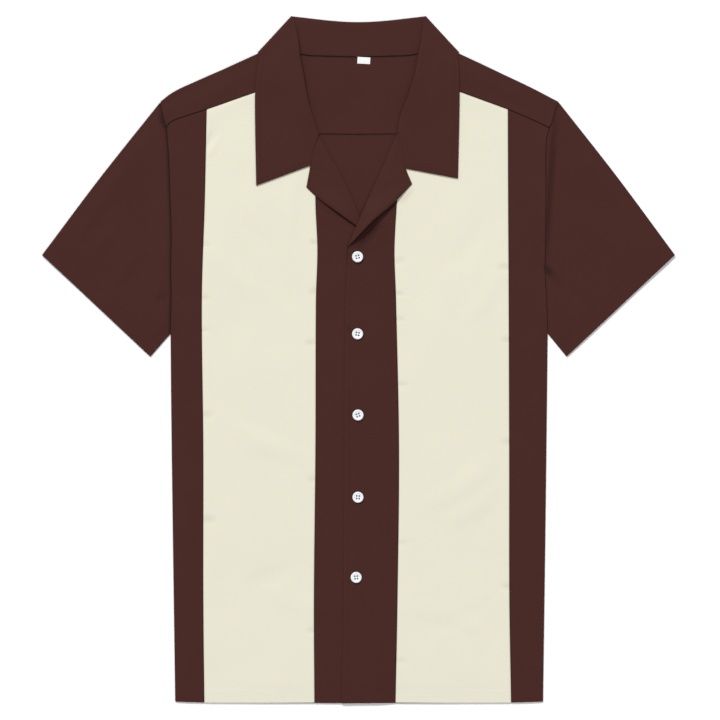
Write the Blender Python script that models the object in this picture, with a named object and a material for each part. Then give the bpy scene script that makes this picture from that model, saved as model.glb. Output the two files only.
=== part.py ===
# Men's short-sleeved bowling shirt, laid flat on its back, buttoned, face up.
# X runs across to the viewer's right, Y towards the collar, Z up from the surface.
# Right and left are the wearer's, so the right side is at -X.
# Cloth is a wall of even thickness; layers that lie on each other keep a small gap.

import math
from collections import namedtuple

import bmesh
import bpy
from mathutils import Matrix, Vector
from mathutils.bvhtree import BVHTree

MM = 0.001
RIGHT = -1
LEFT = 1

# Cloth, in millimetres like every size below.
WALL = 1.0
GAP = 0.3
PLY = WALL + GAP
LOWEST = WALL / 2

# Body.
HEM_Y = -401.9
HEM_RISE = 2.0
HEM_HALF_WIDTH = 214.5
UNDERARM_Y = 31.0
SHOULDER_TIP = (233.0, 300.0)
SHOULDER_NECK = (88.5, 370.5)
YOKE_SEAM_TIP_Y = 271.0
YOKE_SEAM_NECK = (82.5, 326.0)
BACK_YOKE_SEAM_Y = 263.5

# Sleeves.
CUFF_TOP = (368.8, 121.2)
CUFF_BOTTOM = (244.2, 4.2)
UNDERARM_INSET = 1.0
NECK_CORNER_CLEARANCE = (-1.0, 2.4)

# Height that the layers over the back of the collar gain, and where.
LIFT_START_Y = 272.0
LIFT_HALF_WIDTH = 182.0
LIFT_RUN = 60.0

# Softness of the shoulder and sleeve folds, and of the collar's and lapels' rolls.
FOLD_PUFF = 1.2
FOLD_RUN = 60.0
COLLAR_LOFT = 2.0
BACK_ROLL_HEIGHT = 2.6
LAPEL_LOFT = 1.0

# Overlap of the left front on the right front.
OVERLAP_END_X = 44.0
OVERLAP_RUN = 24.0
OVERLAP_TOP_Y = 205.0
OVERLAP_TOP_RUN = 28.0
LAPEL_TAIL = (5.0, 154.0)
LAPEL_TAIL_REACH = 36.0
LAPEL_TAIL_RUN = 18.0

# Buttons and label.
BUTTON_DIAMETER = 14.0
BUTTON_THICKNESS = 2.6
BUTTON_RIM = 2.2
BUTTON_DISH = 0.6
BUTTON_HOLE_DIAMETER = 1.7
BUTTON_HOLE_OFFSET = 1.35
BUTTON_SIDES = 24
LABEL_SIZE = (16.4, 8.6)
LABEL_PLACE = (6.2, 348.9)
LABEL_TURN = math.radians(-3.0)

# Cells of the cloth: along the body, across its panels and round its folds.
LOWER_ROWS = 9
UPPER_ROWS = 12
SIDE_COLUMNS = 2
PANEL_COLUMNS = 4
NECK_COLUMNS = 5
CENTRE_COLUMNS = 3
ROLL_ROWS = 6
LAPEL_COLUMNS = 3
YOKE_ROWS = 3
FOLD_STEPS = 4
SLEEVE_COLUMNS = 5
COLLAR_BACK_COLUMNS = 5
STAND_ROWS = 2
LEAF_ROWS = 3 * LAPEL_COLUMNS

BROWN = (0.0704, 0.0252, 0.0212)
CREAM = (0.815, 0.799, 0.651)
WHITE = (0.88, 0.88, 0.87)

# Distance of a seam from the centre line at each level, for the two sides.
Level = namedtuple("Level", "y right left")
ARMHOLE = (
    Level(300.0, 233.0, 233.0),
    Level(287.0, 229.5, 231.8),
    Level(271.0, 224.5, 229.5),
    Level(237.0, 221.4, 225.6),
    Level(190.0, 219.7, 220.6),
    Level(144.0, 218.4, 218.6),
    Level(105.0, 219.0, 217.8),
    Level(75.0, 218.4, 219.2),
    Level(31.0, 219.8, 220.4),
)
SIDE_SEAM = (
    Level(31.0, 219.8, 220.4),
    Level(-60.0, 219.0, 219.0),
    Level(-200.0, 217.2, 217.2),
    Level(-400.0, 214.3, 214.3),
)
OUTER_SEAM = (
    Level(292.6, 177.4, 174.6),
    Level(185.0, 179.6, 175.0),
    Level(70.0, 183.1, 175.6),
    Level(-105.0, 181.4, 176.2),
    Level(-280.0, 181.4, 176.4),
    Level(-401.0, 180.2, 178.4),
)
INNER_SEAM = (
    Level(263.5, 48.6, 48.4),
    Level(187.0, 50.3, 45.0),
    Level(128.0, 48.0, 42.1),
    Level(70.0, 49.7, 43.9),
    Level(-105.0, 50.3, 47.4),
    Level(-280.0, 52.1, 45.6),
    Level(-401.0, 51.5, 43.3),
)

# Curves of each side as distance from the centre line and height on the page.
# NECK_BACK: centre back to the shoulder.  NECK_FRONT: yoke seam to the gorge.
# ROLL_BACK: centre back to the shoulder corner.  ROLL_FRONT: corner to the gorge.
# LEAF_BACK: hidden edge of the collar.  LEAF_FRONT: its edge from shoulder to point.
NECK_BACK = ((0.0, 353.8), (36.0, 354.6), (69.0, 357.4), SHOULDER_NECK)
NECK_YOKE = (SHOULDER_NECK, (87.5, 350.0), YOKE_SEAM_NECK)
LEAF_BACK = ((0.0, 335.0), (45.0, 337.5), (88.0, 345.0), (118.6, 359.0))

Side = namedtuple("Side", "sign neck_front roll_back roll_front leaf_front gorge point lapel_point "
                          "lapel_lower roll front_edge")
SIDES = {
    "right": Side(
        sign=RIGHT,
        neck_front=(YOKE_SEAM_NECK, (72.0, 300.0), (60.0, 279.0), (48.6, 263.5)),
        roll_back=((0.0, 392.8), (38.0, 395.8), (77.0, 400.0)),
        roll_front=((77.0, 400.0), (73.0, 383.0), (70.2, 358.7), (66.6, 336.5), (60.2, 302.6),
                    (52.1, 276.5), (47.1, 264.8)),
        leaf_front=((118.6, 359.0), (121.0, 312.0), (119.5, 203.1)),
        gorge=((46.9, 261.8), (52.8, 245.2), (56.1, 226.9)),
        point=(119.5, 203.1),
        lapel_point=(60.9, 201.4),
        lapel_lower=((-7.6, 149.3), (2.9, 156.9), (49.4, 190.7), (60.9, 201.4)),
        roll=((-7.6, 149.3), (7.0, 185.6), (22.8, 218.3), (39.2, 246.4), (46.9, 261.8)),
        front_edge=((-14.0, -402.0), (-12.0, -100.0), (-7.6, 149.3)),
    ),
    "left": Side(
        sign=LEFT,
        neck_front=(YOKE_SEAM_NECK, (72.0, 302.0), (60.0, 282.0), (48.4, 263.5)),
        roll_back=((0.0, 392.8), (38.0, 395.8), (77.0, 400.0)),
        roll_front=((77.0, 400.0), (74.8, 372.0), (72.0, 358.0), (68.0, 334.0), (58.8, 304.5),
                    (50.0, 284.0), (46.6, 268.0)),
        leaf_front=((118.6, 359.0), (118.2, 314.0), (116.2, 211.5)),
        gorge=((46.4, 265.2), (51.8, 245.2), (54.9, 223.2)),
        point=(116.2, 211.5),
        lapel_point=(62.6, 205.5),
        lapel_lower=((-12.3, 131.7), (18.1, 163.3), (41.5, 183.2), (62.6, 205.5)),
        roll=((-12.3, 131.7), (17.0, 198.4), (46.4, 265.2)),
        front_edge=((-19.8, -402.0), (-17.3, -260.0), (-15.8, 40.0), (-12.3, 131.7)),
    ),
}

# Centre of each button, from the top.
ButtonPlace = namedtuple("ButtonPlace", "x y")
BUTTONS = (
    ButtonPlace(-1.1, 120.0),
    ButtonPlace(-1.1, 30.0),
    ButtonPlace(-0.6, -64.8),
    ButtonPlace(-0.6, -160.8),
    ButtonPlace(-2.7, -254.4),
)


def ramp(value):
    value = min(1.0, max(0.0, value))
    return value * value * (3.0 - 2.0 * value)


def through(points):
    """Smooth curve through the points, read from 0 to 1 along its length."""
    knots = [Vector((point[0], point[1])) for point in points]
    marks = [0.0]
    for before, after in zip(knots, knots[1:]):
        marks.append(marks[-1] + (after - before).length)

    def slope(index):
        before = max(index - 1, 0)
        after = min(index + 1, len(knots) - 1)
        return (knots[after] - knots[before]) / (marks[after] - marks[before])

    def read(t):
        reach = min(1.0, max(0.0, t)) * marks[-1]
        index = 0
        while index < len(knots) - 2 and reach > marks[index + 1]:
            index += 1
        span = marks[index + 1] - marks[index]
        share = (reach - marks[index]) / span
        square = share * share
        cube = square * share
        return (knots[index] * (2 * cube - 3 * square + 1)
                + slope(index) * span * (cube - 2 * square + share)
                + knots[index + 1] * (3 * square - 2 * cube)
                + slope(index + 1) * span * (cube - square))

    return read


def part_of(curve, start, end):
    return lambda t: curve(start + (end - start) * t)


def joined(first, share, second):
    """One curve after the other, the first taking the given share."""
    return lambda t: first(t / share) if t <= share else second((t - share) / (1.0 - share))


def moved(curve, x=0.0, y=0.0):
    return lambda t: curve(t) + Vector((x, y))


def drawn_in(curve, target, distance):
    """The curve moved the distance towards another curve read alike."""
    return lambda t: curve(t) + (target(t) - curve(t)).normalized() * distance


def straight(start, end):
    return lambda t: Vector(start).lerp(Vector(end), t)


def seam(levels, side_name):
    return through([(getattr(level, side_name), level.y) for level in levels])


def height_share(curve, y):
    """Place along a rising or falling curve where it reaches the level y."""
    low, high = (0.0, 1.0) if curve(1.0).y > curve(0.0).y else (1.0, 0.0)
    for _ in range(40):
        middle = (low + high) / 2
        if curve(middle).y < y:
            low = middle
        else:
            high = middle
    return low


def patch(u, v, west, east, south, north):
    """Point inside four border curves that meet at their corners."""
    sides = west(v).lerp(east(v), u)
    ends = south(u).lerp(north(u), v)
    corners = south(0.0).lerp(south(1.0), u).lerp(north(0.0).lerp(north(1.0), u), v)
    return sides + ends - corners


def hem_y(x):
    return HEM_Y + HEM_RISE * (x / HEM_HALF_WIDTH) ** 2


def hem(start_x, end_x):
    def read(t):
        x = start_x + (end_x - start_x) * t
        return Vector((x, hem_y(x)))
    return read


def fold_distance(x, y):
    """Distance inside the garment's folded edge: the shoulder or the sleeve's top."""
    point = Vector((abs(x), y))
    distances = []
    for start, end in ((SHOULDER_NECK, SHOULDER_TIP), (SHOULDER_TIP, CUFF_TOP)):
        run = (Vector(end) - Vector(start)).normalized()
        inward = Vector((run.y, -run.x))
        distances.append((point - Vector(start)).dot(inward))
    return min(distances)


def lift(x, y):
    along = ramp((y - LIFT_START_Y) / LIFT_RUN)
    return PLY * along * ramp((LIFT_HALF_WIDTH - abs(x)) / LIFT_RUN)


def lower_height(x, y):
    return LOWEST + lift(x, y)


def overlap_height(x, y):
    """Height that the left front gains over the right front and its lapel."""
    over_front = ramp((OVERLAP_END_X - x) / OVERLAP_RUN) * ramp((OVERLAP_TOP_Y - y) / OVERLAP_TOP_RUN)
    tail = (Vector((x, y)) - Vector(LAPEL_TAIL)).length
    return PLY * (over_front + ramp((LAPEL_TAIL_REACH - tail) / LAPEL_TAIL_RUN))


def upper_height(x, y):
    puff = FOLD_PUFF * ramp(1.0 - fold_distance(x, y) / FOLD_RUN)
    return LOWEST + PLY + lift(x, y) + puff


def front_height(x, y, sign):
    return upper_height(x, y) + (overlap_height(x, y) if sign == LEFT else 0.0)


def add_grid(bm, columns, rows, place):
    """Grid of cells whose corners go where place(u, v) says, u and v from 0 to 1."""
    made = bmesh.ops.create_grid(bm, x_segments=columns, y_segments=rows, size=0.5)
    for vert in made["verts"]:
        vert.co = place(vert.co.x + 0.5, vert.co.y + 0.5) * MM


def flat_place(sign, borders, height):
    """Place for a grid inside four borders, at a height worked out from x and y."""
    def place(u, v):
        point = patch(u, v, *borders)
        x = sign * point.x
        return Vector((x, point.y, height(x, point.y)))
    return place


def fold_place(sign, line, outward, low, high):
    """Place for a half turn along a line, u round the turn and v along it."""
    def place(u, v):
        point = line(v)
        x = sign * point.x
        bottom = low(x, point.y)
        radius = (high(x, point.y) - bottom) / 2
        reach = outward(v) * radius * math.sin(u * math.pi)
        return Vector((x + sign * reach.x, point.y + reach.y,
                       bottom + radius * (1.0 - math.cos(u * math.pi))))
    return place


def finish_cloth(name, bm, colour):
    """Join the grids, give the sheet its wall and put it in the scene."""
    bmesh.ops.remove_doubles(bm, verts=bm.verts, dist=0.00001)
    bmesh.ops.recalc_face_normals(bm, faces=bm.faces)
    mesh = bpy.data.meshes.new(name)
    bm.to_mesh(mesh)
    bm.free()
    cloth = bpy.data.objects.new(name, mesh)
    bpy.context.collection.objects.link(cloth)
    wall = cloth.modifiers.new("wall", "SOLIDIFY")
    wall.thickness = WALL * MM
    wall.offset = 0.0
    finish_look(cloth, colour, roughness=0.85)
    return cloth


def finish_look(thing, colour, roughness):
    material = bpy.data.materials.new(thing.name)
    material.use_nodes = True
    shader = material.node_tree.nodes["Principled BSDF"]
    shader.inputs["Base Color"].default_value = (*colour, 1.0)
    shader.inputs["Roughness"].default_value = roughness
    shader.inputs["Metallic"].default_value = 0.0
    thing.data.materials.append(material)
    thing.data.shade_smooth()
    thing.data.set_sharp_from_angle(angle=math.radians(40.0))


def armhole_curves(side_name):
    """The armhole from underarm to shoulder in two lengths: below and beside the yoke."""
    curve = seam(ARMHOLE, side_name)
    turn = height_share(curve, YOKE_SEAM_TIP_Y)
    return part_of(curve, 1.0, turn), part_of(curve, turn, 0.0)


def yoke_seam(side_name):
    """The front yoke seam in two lengths: over the side strip and over the panel."""
    below, _ = armhole_curves(side_name)
    tip = below(1.0)
    middle = seam(OUTER_SEAM, side_name)(0.0)
    curve = through((tip, middle, YOKE_SEAM_NECK))
    turn = (middle - tip).length / ((middle - tip).length + (Vector(YOKE_SEAM_NECK) - middle).length)
    return part_of(curve, 0.0, turn), part_of(curve, turn, 1.0)


def front_curves(side_name, levels):
    """A front seam in two lengths, split level with the underarm."""
    curve = seam(levels, side_name)
    turn = height_share(curve, UNDERARM_Y)
    return part_of(curve, 1.0, turn), part_of(curve, turn, 0.0)


def centre_curves(side_name, side):
    """The centre strip's seam in three lengths, split at the underarm and where the roll starts."""
    curve = seam(INNER_SEAM, side_name)
    turn = height_share(curve, UNDERARM_Y)
    roll_turn = height_share(curve, side.roll[0][1])
    return part_of(curve, 1.0, turn), part_of(curve, turn, roll_turn), part_of(curve, roll_turn, 0.0)


def build_back():
    bm = bmesh.new()
    half_gap = GAP / 2
    for side_name, side in SIDES.items():
        side_seam = part_of(seam(SIDE_SEAM, side_name), 1.0, 0.0)
        armhole = moved(armhole_curves(side_name)[0], x=-half_gap, y=-half_gap)
        waist = straight((0.0, UNDERARM_Y), armhole(0.0))
        top = through(((0.0, BACK_YOKE_SEAM_Y - half_gap), (120.0, BACK_YOKE_SEAM_Y + 2.0), armhole(1.0)))
        side_seam = ending_at(side_seam, side_seam(0.0), armhole(0.0))
        lower = (straight((0.0, HEM_Y), (0.0, UNDERARM_Y)), side_seam, hem(0.0, side_seam(0.0).x), waist)
        upper = (straight((0.0, UNDERARM_Y), top(0.0)), armhole, waist, top)
        add_grid(bm, PANEL_COLUMNS, LOWER_ROWS, flat_place(side.sign, lower, lower_height))
        add_grid(bm, PANEL_COLUMNS, UPPER_ROWS, flat_place(side.sign, upper, lower_height))
    finish_cloth("back", bm, BROWN)


def shoulder_outward(_):
    run = (Vector(SHOULDER_NECK) - Vector(SHOULDER_TIP)).normalized()
    return Vector((run.y, -run.x))


def build_yoke():
    bm = bmesh.new()
    half_gap = GAP / 2
    front_columns = SIDE_COLUMNS + PANEL_COLUMNS
    for side_name, side in SIDES.items():
        armhole = moved(armhole_curves(side_name)[1], x=-half_gap)
        side_top, panel_top = yoke_seam(side_name)
        front_seam = moved(joined(side_top, SIDE_COLUMNS / front_columns, panel_top), y=half_gap)
        back_seam = through((armhole(0.0), (120.0, BACK_YOKE_SEAM_Y + 2.0 + GAP),
                             (0.0, BACK_YOKE_SEAM_Y + half_gap)))
        turn = 0.62
        neck_line = straight(back_seam(turn), SHOULDER_NECK)
        fold_line = straight(armhole(1.0), SHOULDER_NECK)
        behind = (armhole, neck_line, part_of(back_seam, 0.0, turn), fold_line)
        before = (armhole, part_of(through(NECK_YOKE), 1.0, 0.0), front_seam, fold_line)
        middle = (neck_line, straight(back_seam(1.0), NECK_BACK[0]),
                  part_of(back_seam, turn, 1.0), part_of(through(NECK_BACK), 1.0, 0.0))
        add_grid(bm, front_columns, YOKE_ROWS, flat_place(side.sign, behind, lower_height))
        add_grid(bm, FOLD_STEPS, front_columns,
                 fold_place(side.sign, fold_line, shoulder_outward, lower_height, upper_height))
        add_grid(bm, front_columns, YOKE_ROWS, flat_place(side.sign, before, upper_height))
        add_grid(bm, COLLAR_BACK_COLUMNS, YOKE_ROWS, flat_place(side.sign, middle, lower_height))
    finish_cloth("yoke", bm, BROWN)


def build_front_side(side_name, side):
    bm = bmesh.new()
    half_gap = GAP / 2
    height = lambda x, y: front_height(x, y, side.sign)
    armhole = moved(armhole_curves(side_name)[0], x=-half_gap, y=-half_gap)
    side_seam = part_of(seam(SIDE_SEAM, side_name), 1.0, 0.0)
    side_seam = ending_at(side_seam, side_seam(0.0), armhole(0.0))
    inner_low, inner_high = front_curves(side_name, OUTER_SEAM)
    inner_low = moved(inner_low, x=half_gap)
    inner_high = moved(inner_high, x=half_gap)
    top = moved(yoke_seam(side_name)[0], y=-half_gap)
    top = ending_at(top, armhole(1.0), top(1.0) + Vector((half_gap, 0.0)))
    waist = straight(armhole(0.0), inner_low(1.0))
    lower = (side_seam, inner_low, hem(side_seam(0.0).x, inner_low(0.0).x), waist)
    upper = (armhole, ending_at(inner_high, waist(1.0), top(1.0)), waist, top)
    add_grid(bm, SIDE_COLUMNS, LOWER_ROWS, flat_place(side.sign, lower, height))
    add_grid(bm, SIDE_COLUMNS, UPPER_ROWS, flat_place(side.sign, upper, height))
    finish_cloth("front_side_" + side_name, bm, BROWN)


def ending_at(curve, start, end):
    """The curve with its two ends moved to the given points."""
    first = Vector(start) - curve(0.0)
    last = Vector(end) - curve(1.0)
    return lambda t: curve(t) + first.lerp(last, t)


def turned_to(curve, end):
    """The curve with only its last stretch led to the given end."""
    shift = Vector(end) - curve(1.0)
    return lambda t: curve(t) + shift * ramp(t * 7.0 - 6.0)


def build_front_panel(side_name, side):
    bm = bmesh.new()
    half_gap = GAP / 2
    height = lambda x, y: front_height(x, y, side.sign)
    outer_low, outer_high = front_curves(side_name, OUTER_SEAM)
    inner_low, inner_middle, inner_high = centre_curves(side_name, side)
    inner_high = joined(inner_middle, 1.0 - ROLL_ROWS / UPPER_ROWS, inner_high)
    outer_low = moved(outer_low, x=-half_gap)
    inner_low = moved(inner_low, x=half_gap)
    columns = PANEL_COLUMNS + NECK_COLUMNS
    neckline = through(side.neck_front)
    top = joined(yoke_seam(side_name)[1], PANEL_COLUMNS / columns, neckline)
    top = ending_at(moved(top, y=-half_gap), top(0.0) - Vector((half_gap, half_gap)),
                    inner_high(1.0) + Vector((half_gap, 0.0)))
    waist = straight(outer_low(1.0), inner_low(1.0))
    lower = (outer_low, inner_low, hem(outer_low(0.0).x, inner_low(0.0).x), waist)
    upper = (ending_at(outer_high, waist(0.0), top(0.0)), ending_at(inner_high, waist(1.0), top(1.0)),
             waist, top)
    add_grid(bm, columns, LOWER_ROWS, flat_place(side.sign, lower, height))
    add_grid(bm, columns, UPPER_ROWS, flat_place(side.sign, upper, height))
    finish_cloth("front_panel_" + side_name, bm, CREAM)


def build_front_centre(side_name, side):
    """Centre strip with its grown-on facing turned back over the roll line as the lapel."""
    bm = bmesh.new()
    half_gap = GAP / 2
    height = lambda x, y: front_height(x, y, side.sign)
    roll = through(side.roll)
    seam_low, seam_middle, seam_high = (moved(curve, x=-half_gap) for curve in centre_curves(side_name, side))
    edge = ending_at(through(side.front_edge), (side.front_edge[0][0], hem_y(0.0)), roll(0.0))
    edge_turn = height_share(edge, UNDERARM_Y)
    edge_low = part_of(edge, 0.0, edge_turn)
    edge_middle = part_of(edge, edge_turn, 1.0)
    waist = straight(seam_low(1.0), edge_low(1.0))
    level = straight(seam_middle(1.0), roll(0.0))
    lower = (seam_low, edge_low, hem(seam_low(0.0).x, side.front_edge[0][0]), waist)
    middle = (seam_middle, edge_middle, waist, level)
    upper = (seam_high, roll, level, straight(seam_high(1.0), roll(1.0)))
    add_grid(bm, CENTRE_COLUMNS, LOWER_ROWS, flat_place(side.sign, lower, height))
    add_grid(bm, CENTRE_COLUMNS, UPPER_ROWS - ROLL_ROWS, flat_place(side.sign, middle, height))
    add_grid(bm, CENTRE_COLUMNS, ROLL_ROWS, flat_place(side.sign, upper, height))

    def lapel_height(x, y):
        return height(x, y) + PLY

    def loft(u, v):
        return LAPEL_LOFT * math.sin(v * math.pi) ** 3 * (1.0 - u) ** 2

    def outward(t):
        run = (roll(1.0) - roll(0.0)).normalized()
        return Vector((-run.y, run.x))

    borders = (roll, straight(side.lapel_point, side.gorge[2]),
               through(side.lapel_lower), moved(through(side.gorge), x=-half_gap, y=-half_gap))

    def lapel_place(u, v):
        point = patch(u, v, *borders)
        x = side.sign * point.x
        return Vector((x, point.y, lapel_height(x, point.y) + loft(u, v)))

    def turn_place(u, v):
        point = roll(v)
        x = side.sign * point.x
        bottom = height(x, point.y)
        radius = (lapel_height(x, point.y) + loft(0.0, v) - bottom) / 2
        reach = outward(v) * radius * math.sin(u * math.pi)
        return Vector((x + side.sign * reach.x, point.y + reach.y,
                       bottom + radius * (1.0 - math.cos(u * math.pi))))

    add_grid(bm, FOLD_STEPS, ROLL_ROWS, turn_place)
    add_grid(bm, LAPEL_COLUMNS, ROLL_ROWS, lapel_place)
    finish_cloth("front_centre_" + side_name, bm, BROWN)


def build_sleeve(side_name, side):
    """One piece sewn to a tube, its two layers lying on each other, open at both ends."""
    bm = bmesh.new()
    half_gap = GAP / 2
    below, beside = armhole_curves(side_name)
    rows = UPPER_ROWS + YOKE_ROWS
    armhole = moved(joined(below, UPPER_ROWS / rows, beside), x=half_gap, y=half_gap * 0.5)
    inset = Vector((UNDERARM_INSET, UNDERARM_INSET))
    armhole = ending_at(armhole, armhole(0.0) + inset, armhole(1.0))
    cuff = straight(CUFF_BOTTOM, CUFF_TOP)
    underarm = straight(armhole(0.0), CUFF_BOTTOM)
    fold_line = straight(armhole(1.0), CUFF_TOP)
    borders = (armhole, cuff, underarm, fold_line)

    def outward(_):
        run = (Vector(CUFF_TOP) - armhole(1.0)).normalized()
        return Vector((-run.y, run.x))

    def under_outward(_):
        run = (Vector(CUFF_BOTTOM) - armhole(0.0)).normalized()
        return Vector((run.y, -run.x))

    add_grid(bm, SLEEVE_COLUMNS, rows, flat_place(side.sign, borders, lower_height))
    add_grid(bm, SLEEVE_COLUMNS, rows, flat_place(side.sign, borders, upper_height))
    add_grid(bm, FOLD_STEPS, SLEEVE_COLUMNS,
             fold_place(side.sign, fold_line, outward, lower_height, upper_height))
    add_grid(bm, FOLD_STEPS, SLEEVE_COLUMNS,
             fold_place(side.sign, underarm, under_outward, lower_height, upper_height))
    finish_cloth("sleeve_" + side_name, bm, BROWN)


def build_collar():
    """One wall: the stand from the neck seam, the roll, and the leaf that goes round the shoulders."""
    bm = bmesh.new()
    for side in SIDES.values():
        add_collar_half(bm, side)
    bmesh.ops.remove_doubles(bm, verts=bm.verts, dist=0.00001)
    open_edges = [edge for edge in bm.edges if edge.is_boundary]
    corners = [edge for edge in open_edges if edge_at_corner(edge)]
    bmesh.ops.holes_fill(bm, edges=corners, sides=3 * FOLD_STEPS)
    finish_cloth("collar", bm, BROWN)


def edge_at_corner(edge):
    """True for an edge that lies within a few millimetres of a shoulder corner of the roll."""
    middle = (edge.verts[0].co + edge.verts[1].co) / 2
    corner = SIDES["right"].roll_back[-1]
    return (Vector((abs(middle.x), middle.y)) / MM - Vector(corner)).length < 5.0


def add_collar_half(bm, side):
    neck_rows = YOKE_ROWS + NECK_COLUMNS
    yoke_share = YOKE_ROWS / neck_rows
    neck_back = through(NECK_BACK)
    neck_front = joined(through(NECK_YOKE), yoke_share, through(side.neck_front))
    roll_back = through(side.roll_back)
    roll_front = through(side.roll_front)
    neck_corner = Vector(SHOULDER_NECK) + Vector(NECK_CORNER_CLEARANCE)
    neck_back = turned_to(drawn_in(neck_back, roll_back, GAP), neck_corner)
    neck_front = part_of(turned_to(drawn_in(part_of(neck_front, 1.0, 0.0), part_of(roll_front, 1.0, 0.0), GAP),
                                   neck_corner), 1.0, 0.0)
    neck_front = ending_at(neck_front, neck_corner, through(side.neck_front)(1.0) + Vector((0.0, GAP)))
    across = straight(neck_back(1.0), roll_back(1.0))
    corner = roll_back(1.0)
    shoulder = Vector(LEAF_BACK[-1])
    wrap = straight(corner, shoulder)
    sign = side.sign

    def leaf_height(x, y):
        return upper_height(x, y) + PLY

    def leaf_loft(u, v):
        return COLLAR_LOFT * math.sin(v * math.pi) * (1.0 - u) ** 2

    corner_height = (LOWEST + leaf_height(sign * corner.x, corner.y)) / 2
    neck_corner_height = (lower_height(*neck_back(1.0)) + upper_height(*neck_back(1.0))) / 2

    def stand_back_place(u, v):
        point = patch(u, v, straight(neck_back(0.0), roll_back(0.0)), across, neck_back, roll_back)
        neck_height = lower_height(0.0, 350.0)
        start = neck_height + (neck_corner_height - neck_height) * ramp(u * 2.0 - 1.0)
        end = BACK_ROLL_HEIGHT + (corner_height - BACK_ROLL_HEIGHT) * ramp(u)
        return Vector((sign * point.x, point.y, start + (end - start) * v))

    def stand_front_place(u, v):
        point = patch(u, v, across, straight(neck_front(1.0), roll_front(1.0)), neck_front, roll_front)
        x = sign * point.x
        flat = upper_height(x, point.y)
        share = ramp(u * 3.0)
        start = neck_corner_height + (flat - neck_corner_height) * share
        end = corner_height + (flat - corner_height) * share
        return Vector((x, point.y, start + (end - start) * v))

    def turn_place(line, outward, low, high):
        def place(u, v):
            point = line(v)
            bottom = low(v)
            radius = (high(v) - bottom) / 2
            reach = outward(v) * radius * math.sin(u * math.pi)
            return Vector((sign * (point.x + reach.x), point.y + reach.y,
                           bottom + radius * (1.0 - math.cos(u * math.pi))))
        return place

    def leaf_back_place(u, v):
        point = patch(u, v, straight(roll_back(0.0), LEAF_BACK[0]), wrap, roll_back, through(LEAF_BACK))
        return Vector((sign * point.x, point.y, LOWEST))

    end_path = joined(drawn_out(through(side.gorge)), LAPEL_COLUMNS / LEAF_ROWS,
                      straight(drawn_out(through(side.gorge))(1.0), side.point))
    end_path = ending_at(end_path, roll_front(1.0), side.point)
    leaf_borders = (roll_front, through(side.leaf_front), wrap, end_path)

    def leaf_front_place(u, v):
        point = patch(u, v, *leaf_borders)
        x = sign * point.x
        return Vector((x, point.y, leaf_height(x, point.y) + leaf_loft(u, v)))

    def stand_back_end(v):
        return stand_back_place(v, 1.0).z

    def stand_front_end(v):
        return stand_front_place(v, 1.0).z

    def leaf_front_start(v):
        return leaf_front_place(0.0, v).z

    def inward(v):
        run = roll_front(min(1.0, v + 0.01)) - roll_front(max(0.0, v - 0.01))
        return Vector((run.y, -run.x)).normalized()

    def wrap_outward(_):
        run = (shoulder - corner).normalized()
        return Vector((-run.y, run.x))

    add_grid(bm, COLLAR_BACK_COLUMNS, STAND_ROWS, stand_back_place)
    add_grid(bm, neck_rows, STAND_ROWS, stand_front_place)
    add_grid(bm, COLLAR_BACK_COLUMNS, LEAF_ROWS, leaf_back_place)
    add_grid(bm, LEAF_ROWS, neck_rows, leaf_front_place)
    add_grid(bm, FOLD_STEPS, COLLAR_BACK_COLUMNS,
             turn_place(roll_back, lambda v: Vector((0.0, 1.0)), lambda v: LOWEST, stand_back_end))
    add_grid(bm, FOLD_STEPS, neck_rows, turn_place(roll_front, inward, stand_front_end, leaf_front_start))
    add_grid(bm, FOLD_STEPS, LEAF_ROWS,
             turn_place(wrap, wrap_outward, lambda v: LOWEST, lambda v: leaf_front_place(v, 0.0).z))


def drawn_out(curve):
    """The gorge's line on the collar's side, clear of the lapel."""
    return moved(curve, x=GAP / 2, y=GAP / 2)


def build_label():
    bm = bmesh.new()

    def place(u, v):
        point = Vector(((u - 0.5) * LABEL_SIZE[0], (v - 0.5) * LABEL_SIZE[1]))
        point.rotate(Matrix.Rotation(LABEL_TURN, 2))
        point += Vector(LABEL_PLACE)
        return Vector((point.x, point.y, lower_height(point.x, point.y) + PLY))

    add_grid(bm, 3, 2, place)
    finish_cloth("label", bm, WHITE)


def top_under(cloth, place, radius):
    """Highest point of the cloth under a round thing, in millimetres."""
    tree = BVHTree.FromObject(cloth, bpy.context.evaluated_depsgraph_get())
    heights = []
    for index in range(8):
        angle = math.tau * index / 8
        start = Vector((place.x + radius * math.cos(angle), place.y + radius * math.sin(angle), 100.0)) * MM
        hit = tree.ray_cast(start, Vector((0.0, 0.0, -1.0)))
        heights.append(hit[0].z / MM)
    return max(heights)


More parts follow.
